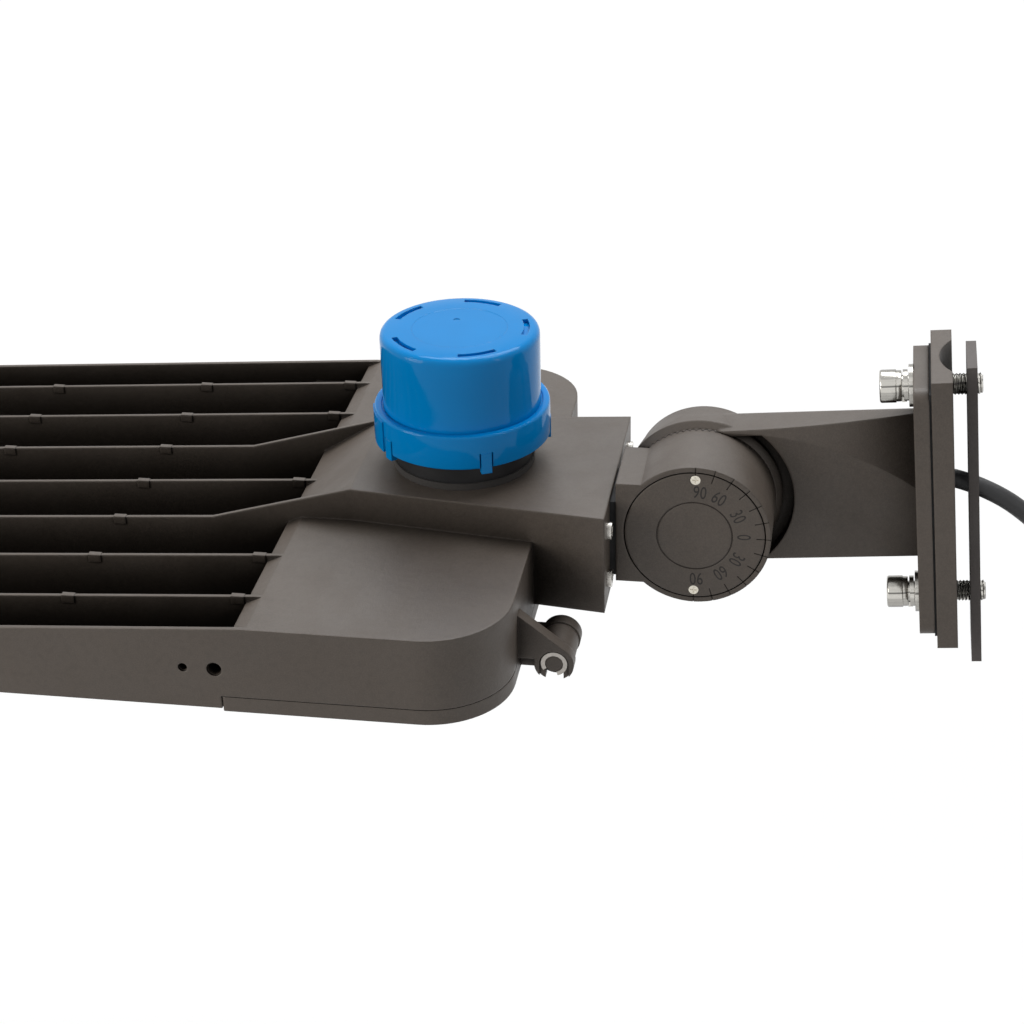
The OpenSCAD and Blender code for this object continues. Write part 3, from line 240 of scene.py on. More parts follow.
class Shader:
    """A material with one Principled shader and short ways to add nodes."""

    def __init__(self, name):
        self.mat = bpy.data.materials.new(name)
        self.mat.use_nodes = True
        self.tree = self.mat.node_tree
        self.tree.nodes.clear()
        self.out = self.tree.nodes.new("ShaderNodeOutputMaterial")
        self.bsdf = self.tree.nodes.new("ShaderNodeBsdfPrincipled")
        self.link(self.bsdf.outputs[0], self.out.inputs[0])
        self.coord = self.tree.nodes.new("ShaderNodeTexCoord")

    def link(self, a, b):
        self.tree.links.new(a, b)

    def node(self, kind, **values):
        return add_node(self.tree, kind, **values)

    def set(self, **values):
        for k, v in values.items():
            self.bsdf.inputs[k.replace("_", " ")].default_value = v

    def place(self, scale, kind="Object"):
        n = self.node("ShaderNodeMapping", Scale=scale)
        self.link(self.coord.outputs[kind], n.inputs["Vector"])
        return n.outputs[0]

    def noise(self, scale, detail=2.0, rough=0.5, at=None):
        n = self.node("ShaderNodeTexNoise", Scale=scale, Detail=detail, Roughness=rough)
        self.link(at or self.coord.outputs["Object"], n.inputs["Vector"])
        return n.outputs["Fac"]

    def ramp(self, value, low, high, a=0.0, b=1.0):
        n = self.node("ShaderNodeMapRange", From_Min=a, From_Max=b, To_Min=low, To_Max=high)
        self.link(value, n.inputs["Value"])
        return n.outputs[0]

    def math(self, op, a, b):
        n = self.node("ShaderNodeMath", operation=op)
        for socket, v in zip(n.inputs, (a, b)):
            if isinstance(v, (int, float)):
                socket.default_value = v
            else:
                self.link(v, socket)
        return n.outputs[0]

    def mix(self, fac, a, b):
        n = self.node("ShaderNodeMix", data_type="RGBA")
        for socket, v in ((n.inputs[0], fac), (n.inputs[6], a), (n.inputs[7], b)):
            if isinstance(v, (int, float, tuple)):
                socket.default_value = v
            else:
                self.link(v, socket)
        return n.outputs[2]

    def color(self, out):
        self.link(out, self.bsdf.inputs["Base Color"])

    def rough(self, out):
        self.link(out, self.bsdf.inputs["Roughness"])

    def bevel(self, radius, samples=6):
        return self.node("ShaderNodeBevel", Radius=radius, samples=samples).outputs[0]

    def bump(self, height, strength, distance, normal=None):
        n = self.node("ShaderNodeBump", Strength=strength, Distance=distance)
        self.link(height, n.inputs["Height"])
        if normal is not None:
            self.link(normal, n.inputs["Normal"])
        return n.outputs[0]

    def normal(self, out):
        self.link(out, self.bsdf.inputs["Normal"])


def shade(c, k):
    """A colour made darker or lighter by a factor."""
    return tuple(min(1.0, v * k) for v in c[:3]) + (1.0,)


def powder_coat(name, base, edge=0.0014, rough=0.47, painted_shade_span=(0.22, 0.80), own=False):
    """Fine textured powder coat: paler on edges, as a painted highlight and as wear, with painted shade and weaker
    reflection in nooks.
    """
    s = Shader(name)
    grain = s.noise(1500, 2.0, 0.6)
    broad = s.noise(11, 3.0, 0.55)
    fine = s.noise(330, 2.0, 0.5)
    tone = s.mix(s.ramp(broad, 0, 1, 0.3, 0.7), shade(base, 0.90), shade(base, 1.10))
    tone = s.mix(s.ramp(grain, 0, 0.55, 0.35, 0.75), tone, shade(base, 1.45))
    tone = s.mix(s.ramp(fine, 0, 0.35, 0.45, 0.8), tone, shade(base, 0.72))
    soft = s.bevel(edge)
    geo = s.node("ShaderNodeNewGeometry")
    dot = s.node("ShaderNodeVectorMath", operation="DOT_PRODUCT")
    s.link(soft, dot.inputs[0])
    s.link(geo.outputs["Normal"], dot.inputs[1])
    # paler edges: a painted highlight where rounded edges catch light, in patches like wear
    edge_highlight_and_wear = s.ramp(dot.outputs["Value"], 0.55, 0.0, 0.72, 0.97)
    edge_highlight_and_wear = s.math("MULTIPLY", edge_highlight_and_wear, s.ramp(s.noise(160, 3.0, 0.7), 0.0, 1.0, 0.35, 0.6))
    tone = s.mix(edge_highlight_and_wear, tone, shade(base, 2.0))
    # painted shade: ambient occlusion darkens the colour and weakens the reflection in nooks and between fins
    painted_shade_ao = s.node("ShaderNodeAmbientOcclusion", Distance=0.045, samples=6, only_local=own)
    s.color(s.mix(s.ramp(painted_shade_ao.outputs["AO"], 0.02, 1.0, *painted_shade_span), shade(base, 0.06), tone))
    s.link(s.ramp(painted_shade_ao.outputs["AO"], 0.03, 0.5, *painted_shade_span), s.bsdf.inputs["Specular IOR Level"])
    s.rough(s.ramp(s.noise(60, 2.0, 0.5), rough - 0.05, rough + 0.07, 0.3, 0.7))
    s.normal(s.bump(grain, 0.32, 0.00022, s.bump(s.noise(260, 2.0, 0.5), 0.22, 0.0005, soft)))
    s.set(Metallic=0.0, IOR=1.45)
    return s.mat


# Painted reflection: how bright banded metal is painted where its surface faces down (0) to up (1)
PAINTED_REFLECTION_BANDS = (
    (0.0, 0.14), (0.16, 0.20), (0.24, 0.50), (0.50, 0.60), (0.54, 0.88), (0.66, 0.88),
    (0.675, 0.20), (0.70, 0.20), (0.73, 0.84), (0.85, 0.84), (0.88, 0.58), (1.0, 0.42),
)


def turned_metal(name, base, rough=0.24, along=(30, 2600, 2600), edge=0.0003, bands=False):
    """Bright turned or rolled metal with fine tool lines, and painted reflection bands by its slope if banded."""
    s = Shader(name)
    lines = s.noise(1.0, 2.0, 0.6, s.place(along))
    spots = s.noise(420, 3.0, 0.6)
    tone = s.mix(s.ramp(lines, 0, 1, 0.3, 0.7), shade(base, 0.86), shade(base, 1.08))
    tone = s.mix(s.ramp(spots, 0, 0.4, 0.55, 0.8), tone, shade(base, 0.62))
    # painted reflection: light and dark bands by which way the surface faces
    if bands:
        split = s.node("ShaderNodeSeparateXYZ")
        s.link(s.node("ShaderNodeNewGeometry").outputs["Normal"], split.inputs[0])
        ramp = s.node("ShaderNodeValToRGB")
        for k, (at, v) in enumerate(PAINTED_REFLECTION_BANDS):
            e = ramp.color_ramp.elements[k] if k < 2 else ramp.color_ramp.elements.new(at)
            e.position = at
            e.color = (v, v, v, 1)
        s.link(s.ramp(split.outputs["Z"], 0.0, 1.0, -1.0, 1.0), ramp.inputs[0])
        tone = s.mix(ramp.outputs[0], shade(base, 0.06), tone)
    s.color(tone)
    s.rough(s.ramp(spots, rough - 0.05, rough + 0.10, 0.3, 0.7))
    s.normal(s.bump(lines, 0.14, 0.00012, s.bevel(edge, 4)))
    s.set(Metallic=1.0)
    return s.mat


def moulded(name, base, rough=0.5, grain=900, depth=0.0001, spread=0.10, coat=0.0):
    """Moulded plastic or rubber with a faint grain and uneven tone."""
    s = Shader(name)
    broad = s.noise(26, 3.0, 0.5)
    fine = s.noise(grain, 2.0, 0.6)
    tone = s.mix(s.ramp(broad, 0, 1, 0.3, 0.7), shade(base, 1 - spread), shade(base, 1 + spread))
    s.color(s.mix(s.ramp(fine, 0, 0.3, 0.5, 0.8), tone, shade(base, 1 - 2 * spread)))
    s.rough(s.ramp(s.noise(140, 2.0, 0.5), rough - 0.04, rough + 0.06, 0.3, 0.7))
    s.normal(s.bump(fine, 0.25, depth, s.bevel(0.0004, 4)))
    s.set(Metallic=0.0, IOR=1.46, Coat_Weight=coat, Coat_Roughness=0.08)
    return s.mat


def cap_plastic(name, base):
    """Glossy moulded plastic with slow ripples and light handling marks."""
    s = Shader(name)
    ripple = s.noise(38, 2.0, 0.5)
    marks = s.noise(1.0, 3.0, 0.7, s.place((900, 900, 70)))
    tone = s.mix(s.ramp(s.noise(17, 3.0, 0.5), 0, 1, 0.3, 0.7), shade(base, 0.93), shade(base, 1.07))
    s.color(s.mix(s.ramp(marks, 0, 0.06, 0.6, 0.85), tone, shade(base, 1.3)))
    s.rough(s.ramp(marks, 0.07, 0.12, 0.35, 0.75))
    s.normal(s.bump(ripple, 0.06, 0.0010, s.bevel(0.0005, 4)))
    s.set(IOR=1.5, Specular_IOR_Level=0.13)
    return s.mat


def clear_plastic(name):
    """Clear moulded plastic with a light haze."""
    s = Shader(name)
    haze = s.noise(50, 3.0, 0.6)
    s.color(s.mix(s.ramp(haze, 0, 1, 0.3, 0.7), (0.93, 0.96, 0.98, 1), (0.86, 0.91, 0.95, 1)))
    s.rough(s.ramp(haze, 0.06, 0.12, 0.3, 0.7))
    s.normal(s.bump(s.noise(240, 2.0, 0.5), 0.08, 0.0001))
    s.set(IOR=1.49, Transmission_Weight=0.88)
    return s.mat


# Fields of the light boards for each metre, one field for each light source
BOARD_FIELDS = (36.5, 32.8, 36.5)


def board(name):
    """White solder mask in faint fields, one for each light source."""
    s = Shader(name)
    brick = s.node(
        "ShaderNodeTexBrick", offset=0.0, Scale=1.0, Brick_Width=1.0, Row_Height=1.0, Mortar_Size=0.02,
        Color1=(0.84, 0.86, 0.82, 1), Color2=(0.80, 0.83, 0.79, 1), Mortar=(0.62, 0.66, 0.60, 1),
    )
    s.link(s.place(BOARD_FIELDS), brick.inputs["Vector"])
    dirt = s.ramp(s.noise(300, 2, 0.5), 0, 0.2, 0.4, 0.7)
    s.color(s.mix(dirt, brick.outputs["Color"], (0.7, 0.74, 0.68, 1)))
    s.rough(s.ramp(s.noise(90), 0.32, 0.45, 0.3, 0.7))
    s.normal(s.bump(brick.outputs["Fac"], 0.2, 0.0001))
    s.set(IOR=1.5)
    return s.mat


def cord_jacket(name):
    """Black rubber jacket with fine ribs along it and a dull sheen."""
    s = Shader(name)
    along = s.place((1.0, 260.0, 1.0), kind="UV")
    ribs = s.noise(1.0, 2.0, 0.5, s.place((6.0, 90.0, 1.0), kind="UV"))
    dust = s.noise(480, 3.0, 0.6)
    base = rgb("101012")
    tone = s.mix(s.ramp(ribs, 0, 1, 0.3, 0.7), shade(base, 0.75), shade(base, 1.35))
    s.color(s.mix(s.ramp(dust, 0, 0.35, 0.5, 0.8), tone, rgb("29292d")))
    s.rough(s.ramp(ribs, 0.34, 0.50, 0.3, 0.7))
    s.normal(s.bump(s.noise(1.0, 1.0, 0.5, along), 0.25, 0.0003, s.bump(dust, 0.10, 0.0002)))
    s.set(IOR=1.5)
    return s.mat


BRONZE = rgb("4f4740")
MATERIALS = {
    "bronze": powder_coat("bronze_powder_coat", BRONZE),
    # the housing's coat takes stronger painted shade in its own nooks, between its fins
    "bronze_head": powder_coat("bronze_powder_coat_finned", BRONZE, painted_shade_span=(0.44, 0.82), own=True),
    "bronze_sheet": powder_coat("bronze_painted_steel", rgb("4b4542"), 0.0005, 0.50),
    "steel": turned_metal("stainless_steel", rgb("c4c1bb"), 0.22),
    "bolt_steel": turned_metal("bright_bolt_steel", rgb("d9d6cf"), 0.18, bands=True),
    "clip_steel": turned_metal("spring_clip_steel", rgb("a5a09a"), 0.34, (900, 900, 900)),
    "zinc": turned_metal("plated_screws", rgb("d8d2c4"), 0.26, (900, 900, 900)),
    "blue": cap_plastic("blue_cap_plastic", (0.0, 0.235, 0.62, 1)),
    "black": moulded("black_moulded_plastic", rgb("101012"), 0.46),
    "rubber": moulded("black_rubber", rgb("121213"), 0.72, 700, 0.0002),
    "grey_rubber": moulded("grey_rubber", rgb("322f2d"), 0.78, 600, 0.0003, 0.14),
    "dark": moulded("dark_moulded_plastic", rgb("23282d"), 0.45),
    "board": board("light_board"),
    "led": moulded("led_phosphor", (0.86, 0.62, 0.10, 1), 0.30, 2200, 0.0001, 0.08, 0.6),
    "clear": clear_plastic("clear_lens"),
    "driver": turned_metal("driver_case_metal", rgb("bfc0be"), 0.38, (12, 900, 900), 0.0006),
    "surge": moulded("surge_case_plastic", rgb("8c2f26"), 0.38, 500, 0.0001),
    "ivory": moulded("terminal_plastic", rgb("dad8cf"), 0.48, 800, 0.0001, 0.05),
    "brass": turned_metal("brass_parts", (0.60, 0.41, 0.16, 1), 0.28, (300, 300, 2000)),
    "plate": turned_metal("mill_aluminium", rgb("9c9e9f"), 0.36, (1800, 30, 1800)),
    "jacket": cord_jacket("cord_jacket"),
    "nylon": moulded("white_nylon", rgb("e6e5e0"), 0.40, 900, 0.0001, 0.04),
    "wire_black": moulded("wire_black", rgb("202020"), 0.35, 900, 0.0001, 0.08),
    "wire_white": moulded("wire_white", rgb("dddcd6"), 0.35, 900, 0.0001, 0.05),
    "wire_green": moulded("wire_green", rgb("1f6b3a"), 0.35, 900, 0.0001, 0.08),
    "copper": turned_metal("bare_copper", (0.72, 0.34, 0.18, 1), 0.30, (3000, 3000, 60)),
    # dark marks on the dial, and painted shade on the ring in the knuckle's seam
    "dark_marks_and_painted_shade": moulded("dark_dial_marks_and_painted_seam_shade", rgb("211d1a"), 0.66, 1200, 0.0001, 0.12),
}

LOOK = {
    "bronze_head": "housing",
    "bronze": "arm pole_adapter knuckle dial_cover lens_frames driver_door hinge_pins",
    "bronze_sheet": "backing_plate",
    "steel": "pivot_bolt pivot_washer pivot_lock_washer pivot_nut knuckle_screws neck_screws frame_screws "
             "driver_screws door_screws",
    "bolt_steel": "mounting_bolts bolt_washers bolt_lock_washers",
    "clip_steel": "hinge_clips",
    "zinc": "dial_screws",
    "rubber": "pole_gasket cord_bushing knuckle_gasket door_gasket",
    "grey_rubber": "receptacle_gasket lens_gaskets cap_gasket",
    "black": "receptacle",
    "blue": "shorting_cap",
    "dark": "cap_base",
    "brass": "receptacle_contacts cap_blades terminal_screws",
    "plate": "neck_plate",
    "board": "led_boards",
    "led": "leds",
    "clear": "lens_panels",
    "driver": "led_driver",
    "surge": "surge_protector",
    "ivory": "terminal_block",
    "jacket": "cord cord_coil cord_tail",
    "nylon": "coil_tie",
    "wire_green": "lead_wires",
    "copper": "lead_ends",
}
for key, names in LOOK.items():
    for name in names.split():
        ob = frame["nodes"][name]
        ob.data.materials.clear()
        ob.data.materials.append(MATERIALS[key])


def dress(ob, body, key, slot, *nodes):
    """Gives a piece its material and the body it rides on, and hides the nodes it stands for; its slot is not
    used.
    """
    ob.data.materials.clear()
    ob.data.materials.append(MATERIALS[key])
    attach(ob, body)
    if nodes:
        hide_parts(*nodes)
    return ob


# Cord
# The cord's route, its diameter and its coil, in millimetres
ROUTE = [
    (-5, 0, 6.5), (0, 0, 6), (11, 0, 1.5), (22, 0, -5), (31, 1, -13), (40, 4, -24), (48, 9, -37),
    (54, 16, -52), (59, 24, -68), (62, 32, -85), (64, 39, -103), (65, 44, -121), (66, 47, -138),
    (66, 47.5, -150),
]
TAIL = [(0, 0, 0), (0, 0, -25), (1, -1, -50), (2, -2, -75), (2, -2, -100)]
CORD_D = 8.6
COIL_R = 47.5
COIL_N = 2
COIL_PITCH = 10
COIL_X = 66
COIL_Z = -150


def smooth_route(q, steps):
    """A smooth line through all points of a route."""
    out = []
    for i in range(len(q) - 1):
        p = [Vector(q[max(i - 1, 0)]), Vector(q[i]), Vector(q[i + 1]), Vector(q[min(i + 2, len(q) - 1)])]
        for k in range(steps):
            t = k / steps
            out.append((2 * p[1] + (p[2] - p[0]) * t + (2 * p[0] - 5 * p[1] + 4 * p[2] - p[3]) * t * t
                        + (3 * p[1] - p[0] - 3 * p[2] + p[3]) * t * t * t) / 2)
    out.append(Vector(q[-1]))
    return out


def cord_line():
    """The cord's middle line in millimetres: route, coil and tail."""
    line = smooth_route(ROUTE, 5)
    steps = COIL_N * 60
    for i in range(steps + 1):
        a = 2 * math.pi * COIL_N * i / steps
        line.append(Vector((COIL_X + COIL_PITCH * a / (2 * math.pi), COIL_R * math.cos(a),
                            COIL_Z - CORD_D - COIL_R * math.sin(a))))
    end = Vector((COIL_X + COIL_PITCH * COIL_N, COIL_R, COIL_Z - 2 * CORD_D))
    line += [end + Vector(p) for p in smooth_route([Vector(t) for t in TAIL], 5)]
    return line


line = cord_line()
curve = bpy.data.curves.new("supply_cord", "CURVE")
curve.dimensions = "3D"
curve.bevel_depth = CORD_D / 2 * MM
curve.bevel_resolution = 8
curve.use_fill_caps = True
spline = curve.splines.new("POLY")
spline.points.add(len(line) - 1)
for pt, p in zip(spline.points, line):
    pt.co = (p.x * MM, p.y * MM, p.z * MM, 1)
spline.use_smooth = True
supply_cord = bpy.data.objects.new("supply_cord", curve)
bpy.context.collection.objects.link(supply_cord)
curve.materials.append(MATERIALS["jacket"])
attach(supply_cord, "arm")
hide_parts("cord", "cord_coil", "cord_tail")

# The wires that leave the jacket, each in its own colour, and their bare strands, in millimetres
WIRES = ("wire_black", "wire_white", "wire_green")
WIRE_OUT = 2.2
WIRE_R = 1.3
WIRE_L = 34.0
WIRE_BEVEL = (0.15, 0.4)
STRANDS = 7
STRAND_OUT = 0.46
STRAND_R = 0.23
STRAND_L = 9.9
STRAND_TWIST = 1.9


def wire_at(i):
    """Where a wire leaves the jacket."""
    return line[-1] + Matrix.Rotation(math.radians(120 * i), 4, "Z") @ Vector((WIRE_OUT, 0, 0))


def wire(i, key):
    """One insulated wire, with a slight bevel on its end."""
    dr, dz = WIRE_BEVEL
    profile = [(0.0, 0.0), (WIRE_R, 0.0), (WIRE_R, dz - WIRE_L), (WIRE_R - dr, -WIRE_L), (0.0, -WIRE_L)]
    v, f = lathe(profile, 24, Matrix.Translation(wire_at(i) * MM), False)
    return dress(link("lead_" + key, mesh_from("lead_wire", v, f)), "arm", key, "wire_insulation")


def strand(at, k, rows=8, sides=8):
    """One bare strand: the first runs in the middle of its wire and the others wind around it."""
    out = STRAND_OUT if k else 0.0
    verts = []
    for i in range(rows + 1):
        a = 2 * math.pi * k / (STRANDS - 1) + STRAND_TWIST * i / rows
        middle = at + Vector((out * math.cos(a), out * math.sin(a), -WIRE_L - STRAND_L * i / rows))
        for j in range(sides):
            b = 2 * math.pi * j / sides
            verts.append((middle + Vector((STRAND_R * math.cos(b), STRAND_R * math.sin(b), 0))) * MM)
    return verts, tube(rows, sides)


wires = [wire(i, key) for i, key in enumerate(WIRES)]
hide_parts("lead_wires")
bare = join("lead_strands", [strand(wire_at(i), k) for i in range(len(WIRES)) for k in range(STRANDS)])
dress(bare, "arm", "copper", "copper", "lead_ends")


# Shorting cap
# The cap's shell from its lower edge up and back inside: radius and height in millimetres
CAP_SKIRT = [
    (35.5, 14.2), (39.6, 14.2), (40.5, 14.4), (41.05, 14.9), (41.3, 15.7), (41.3, 22), (41.25, 29.9),
    (41.1, 30.6), (40.7, 31.05), (40.2, 31.2), (38.3, 31.2), (37.95, 31.05), (37.85, 30.7), (37.8, 30.2),
]
CAP_BODY = [
    (37.2, 30.2), (37.1, 31.0), (37.1, 40.0), (37.15, 52.0), (37.2, 63.4), (37.1, 64.7), (36.75, 65.8),
    (36.1, 66.65), (35.2, 67.2), (34.2, 67.4),
]
CAP_TOP = [(26.0, 67.5), (22.3, 67.5), (22.15, 67.36), (22.0, 67.46), (10.0, 67.45), (0.0, 67.45)]
CAP_INSIDE = [(0.0, 65.1), (34.9, 65.1), (34.9, 20.5), (35.5, 20.5)]

# Slots in the top and tabs in the skirt: their number, their turn in degrees, radii and heights
CAP_TABS = 5
CAP_TURN = 7.4
SLOT_HALF_ANGLE = 16.5
SLOT_R = (29.8, 32.5)
SLOT_Z = (65.6, 68.5)
SLIT_AT = 2.85
SLIT_HALF = 0.3
SLIT_R = (34, 43)
SLIT_Z = (13.0, 22.2)
FOOT_HALF = 2.5
FOOT_R = (38.3, 41.42, 41.55)
FOOT_Z = (11.9, 21.8)

# Index rib on the skirt and gate mark on the top
RIB_TURN = 203
RIB_HALF_ANGLE = math.radians(15)
RIB_R = (38.5, 41.9)
RIB_Z = (14.2, 29.4)
GATE_AT = (-3.0, 8.9)
GATE_R = 1.5
GATE_Z = (67.1, 68.4)


def about_cap(degrees):
    """The cap's place, turned about its axis."""
    return CAP @ Matrix.Rotation(math.radians(degrees), 4, "Z")


def cap_tab(turn):
    """Cutters of one arc slot with the tab below it: two slits beside the tab, and its foot."""
    half = math.radians(SLOT_HALF_ANGLE)
    cuts = [(prism("slot", arc_outline(*SLOT_R, -half, half), *SLOT_Z, turn), "DIFFERENCE")]
    r0, r1 = SLIT_R
    for side in (-1, 1):
        y0, y1 = side * SLIT_AT - SLIT_HALF, side * SLIT_AT + SLIT_HALF
        slit = [(r0, y0), (r1, y0), (r1, y1), (r0, y1)]
        cuts.append((prism("slit", slit, *SLIT_Z, turn), "DIFFERENCE"))
    r0, r1, r2 = FOOT_R
    foot = [(r0, -FOOT_HALF), (r1, -FOOT_HALF), (r2, 0), (r1, FOOT_HALF), (r0, FOOT_HALF)]
    cuts.append((prism("foot", foot, *FOOT_Z, turn), "UNION"))
    return cuts


def shorting_cap():
    """The cap's shell with its skirt, slots, tabs, rib and gate mark."""
    v, f = lathe(CAP_SKIRT + CAP_BODY + CAP_TOP + CAP_INSIDE, 144, CAP)
    ob = link("cap_shell", mesh_from("cap_shell", v, f, 30))
    cuts = []
    for i in range(CAP_TABS):
        cuts += cap_tab(about_cap(CAP_TURN + 360 / CAP_TABS * i))
    rib = arc_outline(*RIB_R, -RIB_HALF_ANGLE, RIB_HALF_ANGLE, 16)
    cuts.append((prism("rib", rib, *RIB_Z, about_cap(RIB_TURN)), "UNION"))
    z0, z1 = GATE_Z
    gate_place = CAP @ Matrix.Translation((GATE_AT[0] * MM, GATE_AT[1] * MM, 0))
    gate = lathe([(0.0, z0), (GATE_R, z0), (GATE_R, z1), (0.0, z1)], 32, gate_place, False)
    cuts.append((link("gate", mesh_from("gate", *gate)), "DIFFERENCE"))
    cut_with(ob, cuts)
    dress(ob, "cap", "blue", "blue_plastic", "shorting_cap")


shorting_cap()


# Mounting bolts and spring washers
# Two bolts stand on their washers against the flange: places and sizes along X, in millimetres
BOLT_Z = MOUNTS["pole_bolts"]["dims"]["pcd_mm"] / 2
FLANGE_X = -17.3
WASHER_T = 2.0
SPRING_T = 3.3
SEAT_X = FLANGE_X - WASHER_T - SPRING_T
HEAD_L = 9.8
HEX_HALF = 4.0
SHANK_R = 4.95
SHANK_L = 20.0
THREAD_R = 4.98
THREAD_DEPTH = 0.62
THREAD_PITCH = 1.5
THREAD_X = -1.8
THREAD_L = 15.2

# The spring washer's radii and bar, how far it climbs, its gap and turn in degrees, its play
SPRING_R = (5.15, 7.4)
SPRING_BAR = 2.1
SPRING_RISE = 1.1
SPRING_GAP = 20
SPRING_TURN = -38
SPRING_LIFT = 0.04


def x_place(x, z):
    """Local Z of a lathe turned to +X, at a place in millimetres."""
    return Matrix.Translation((x * MM, 0, z * MM)) @ Matrix.Rotation(math.radians(90), 4, "Y")


def threaded_rod(place, n=48, per=8):
    """The bolt's end with its thread and a blunt tip."""
    rows = math.ceil(THREAD_L / THREAD_PITCH * per)
    verts = thread(THREAD_R, THREAD_DEPTH, THREAD_PITCH, THREAD_L, place, n, rows, power=0.8, tip=0.9)
    return verts, tube(rows, n)


def socket_head(place, n=96):
    """A socket head with a narrower collar, its face at local Z 0 and its seat at HEAD_L."""
    profile = [
        (6.5, 0.0), (7.1, 0.15), (7.45, 0.55), (7.55, 1.2), (7.55, 7.1), (7.45, 7.4), (7.1, 7.5),
        (7.1, 9.5), (6.9, HEAD_L),
    ]
    hexa = [HEX_HALF / math.cos(2 * math.pi * j / n % (math.pi / 3) - math.pi / 6) for j in range(n)]
    rings = [[(h, 5.0) for h in hexa], [(h, 0.35) for h in hexa], [(h + 0.35, 0.0) for h in hexa]]
    rings += [[point] * n for point in profile]
    verts = [polar(r, 2 * math.pi * j / n, z, place) for ring in rings for j, (r, z) in enumerate(ring)]
    return verts, tube(len(rings) - 1, n)


def spring_ring(place, n=72):
    """A split spring washer: one turn of a square bar that climbs a little."""
    r0, r1 = SPRING_R
    verts = []
    for i in range(n + 1):
        a = math.radians(SPRING_GAP / 2) + math.radians(360 - SPRING_GAP) * i / n
        z = SPRING_RISE * i / n
        for r, dz in ((r0, 0), (r1, 0), (r1, SPRING_BAR), (r0, SPRING_BAR)):
            verts.append(polar(r, a, z + dz, place))
    return verts, tube(n, 4)


bolts, rings = [], []
for z in (-BOLT_Z, BOLT_Z):
    shank = [(0, 0), (SHANK_R, 0), (SHANK_R, SHANK_L), (0, SHANK_L)]
    bolts.append(socket_head(x_place(SEAT_X - HEAD_L, z)))
    bolts.append(lathe(shank, 48, x_place(SEAT_X, z), False))
    bolts.append(threaded_rod(x_place(THREAD_X, z)))
    turned = Matrix.Rotation(math.radians(SPRING_TURN), 4, "Z")
    rings.append(spring_ring(x_place(SEAT_X + SPRING_LIFT, z) @ turned))
dress(join("mounting_bolt_set", bolts), "arm", "bolt_steel", "stainless", "mounting_bolts")
dress(join("bolt_spring_rings", rings), "arm", "bolt_steel", "stainless", "bolt_lock_washers")


# Crown teeth of the knuckle's seam
# Teeth around the seam, height of their waves and radii of the rings, in millimetres
TEETH = 72
WAVE = 0.95
CROWN_R = (32.6, 34.98)
SEAM_SHADE_R = (33.6, 34.8)


def crown(name, place, flat_y, mid_y, wave=WAVE, radii=CROWN_R):
    """A ring about the tilt axis, flat on one side and with rounded waves on the other, along Y."""
    n = TEETH * 8
    r0, r1 = radii
    verts = []
    for j in range(n):
        a = 2 * math.pi * j / n
        y = mid_y + wave * abs(math.sin(a * TEETH / 2)) * 2 - wave
        for r, at_y in ((r0, flat_y), (r1, flat_y), (r1, y), (r0, y)):
            verts.append(place @ Vector((r * math.cos(a) * MM, at_y * MM, r * math.sin(a) * MM)))
    return link(name, mesh_from(name, verts, around(n, 4), 25))


# the lean at rest is one tooth, so the waves on head and arm run in step
dress(crown("knuckle_crown", HEAD, flat_y=2.9, mid_y=4.05), "head", "bronze", "bronze_casting")
dress(crown("arm_crown", ARM, flat_y=6.2, mid_y=4.85), "arm", "bronze", "bronze_casting")
# a dark ring deep in the seam between the two crowns: painted shade of the gap between the teeth
seam_shade_ring = crown("crown_seam_painted_shade", ARM, flat_y=6.0, mid_y=3.1, wave=0.0, radii=SEAM_SHADE_R)
dress(seam_shade_ring, "arm", "dark_marks_and_painted_shade", "bronze_casting")


# Tapped holes in the head's sides
# Radius of each tapped hole, then the thread's depth, pitch, length and start outside the mount
SIDE_HOLES = (("side_hole", 3.38), ("side_pilot", 2.08))
SIDE_DEPTH = 0.42
SIDE_PITCH = 1.0
SIDE_L = 10.4
SIDE_OUT = 0.6


def thread_lining(r, place, n=32, per=6):
    """The threaded wall of a hole that runs inwards from its mouth."""
    rows = int(SIDE_L / SIDE_PITCH * per)
    return thread(r, SIDE_DEPTH, SIDE_PITCH, SIDE_L, place, n, rows), tube(rows, n, False)


linings = []
for side, word in ((-1, "near"), (1, "far")):
    for hole, r in SIDE_HOLES:
        mouth = Vector(MOUNTS[hole + "_" + word]["pos_m"]) + Vector((0, side * SIDE_OUT * MM, 0))
        place = Matrix.Translation(mouth) @ LEAN @ Matrix.Rotation(math.radians(90 * side), 4, "X")
        linings.append(thread_lining(r, place))
dress(join("side_hole_threads", linings), "head", "bronze", "bronze_casting")


# Dial numbers
# Radius and face of the dial's numbers, their size in millimetres and how narrow they are
DIAL_R = 22.3
DIAL_SIZE = 9.0
DIAL_WIDTH = 0.69
DIAL_FACE = -34.415

# Each number and its place in degrees up from +X
DIAL_NUMBERS = (
    ("90", 84.7), ("60", 61.5), ("30", 29.7), ("0", 1.5), ("30", -29.7), ("60", -56.6), ("90", -87),
)


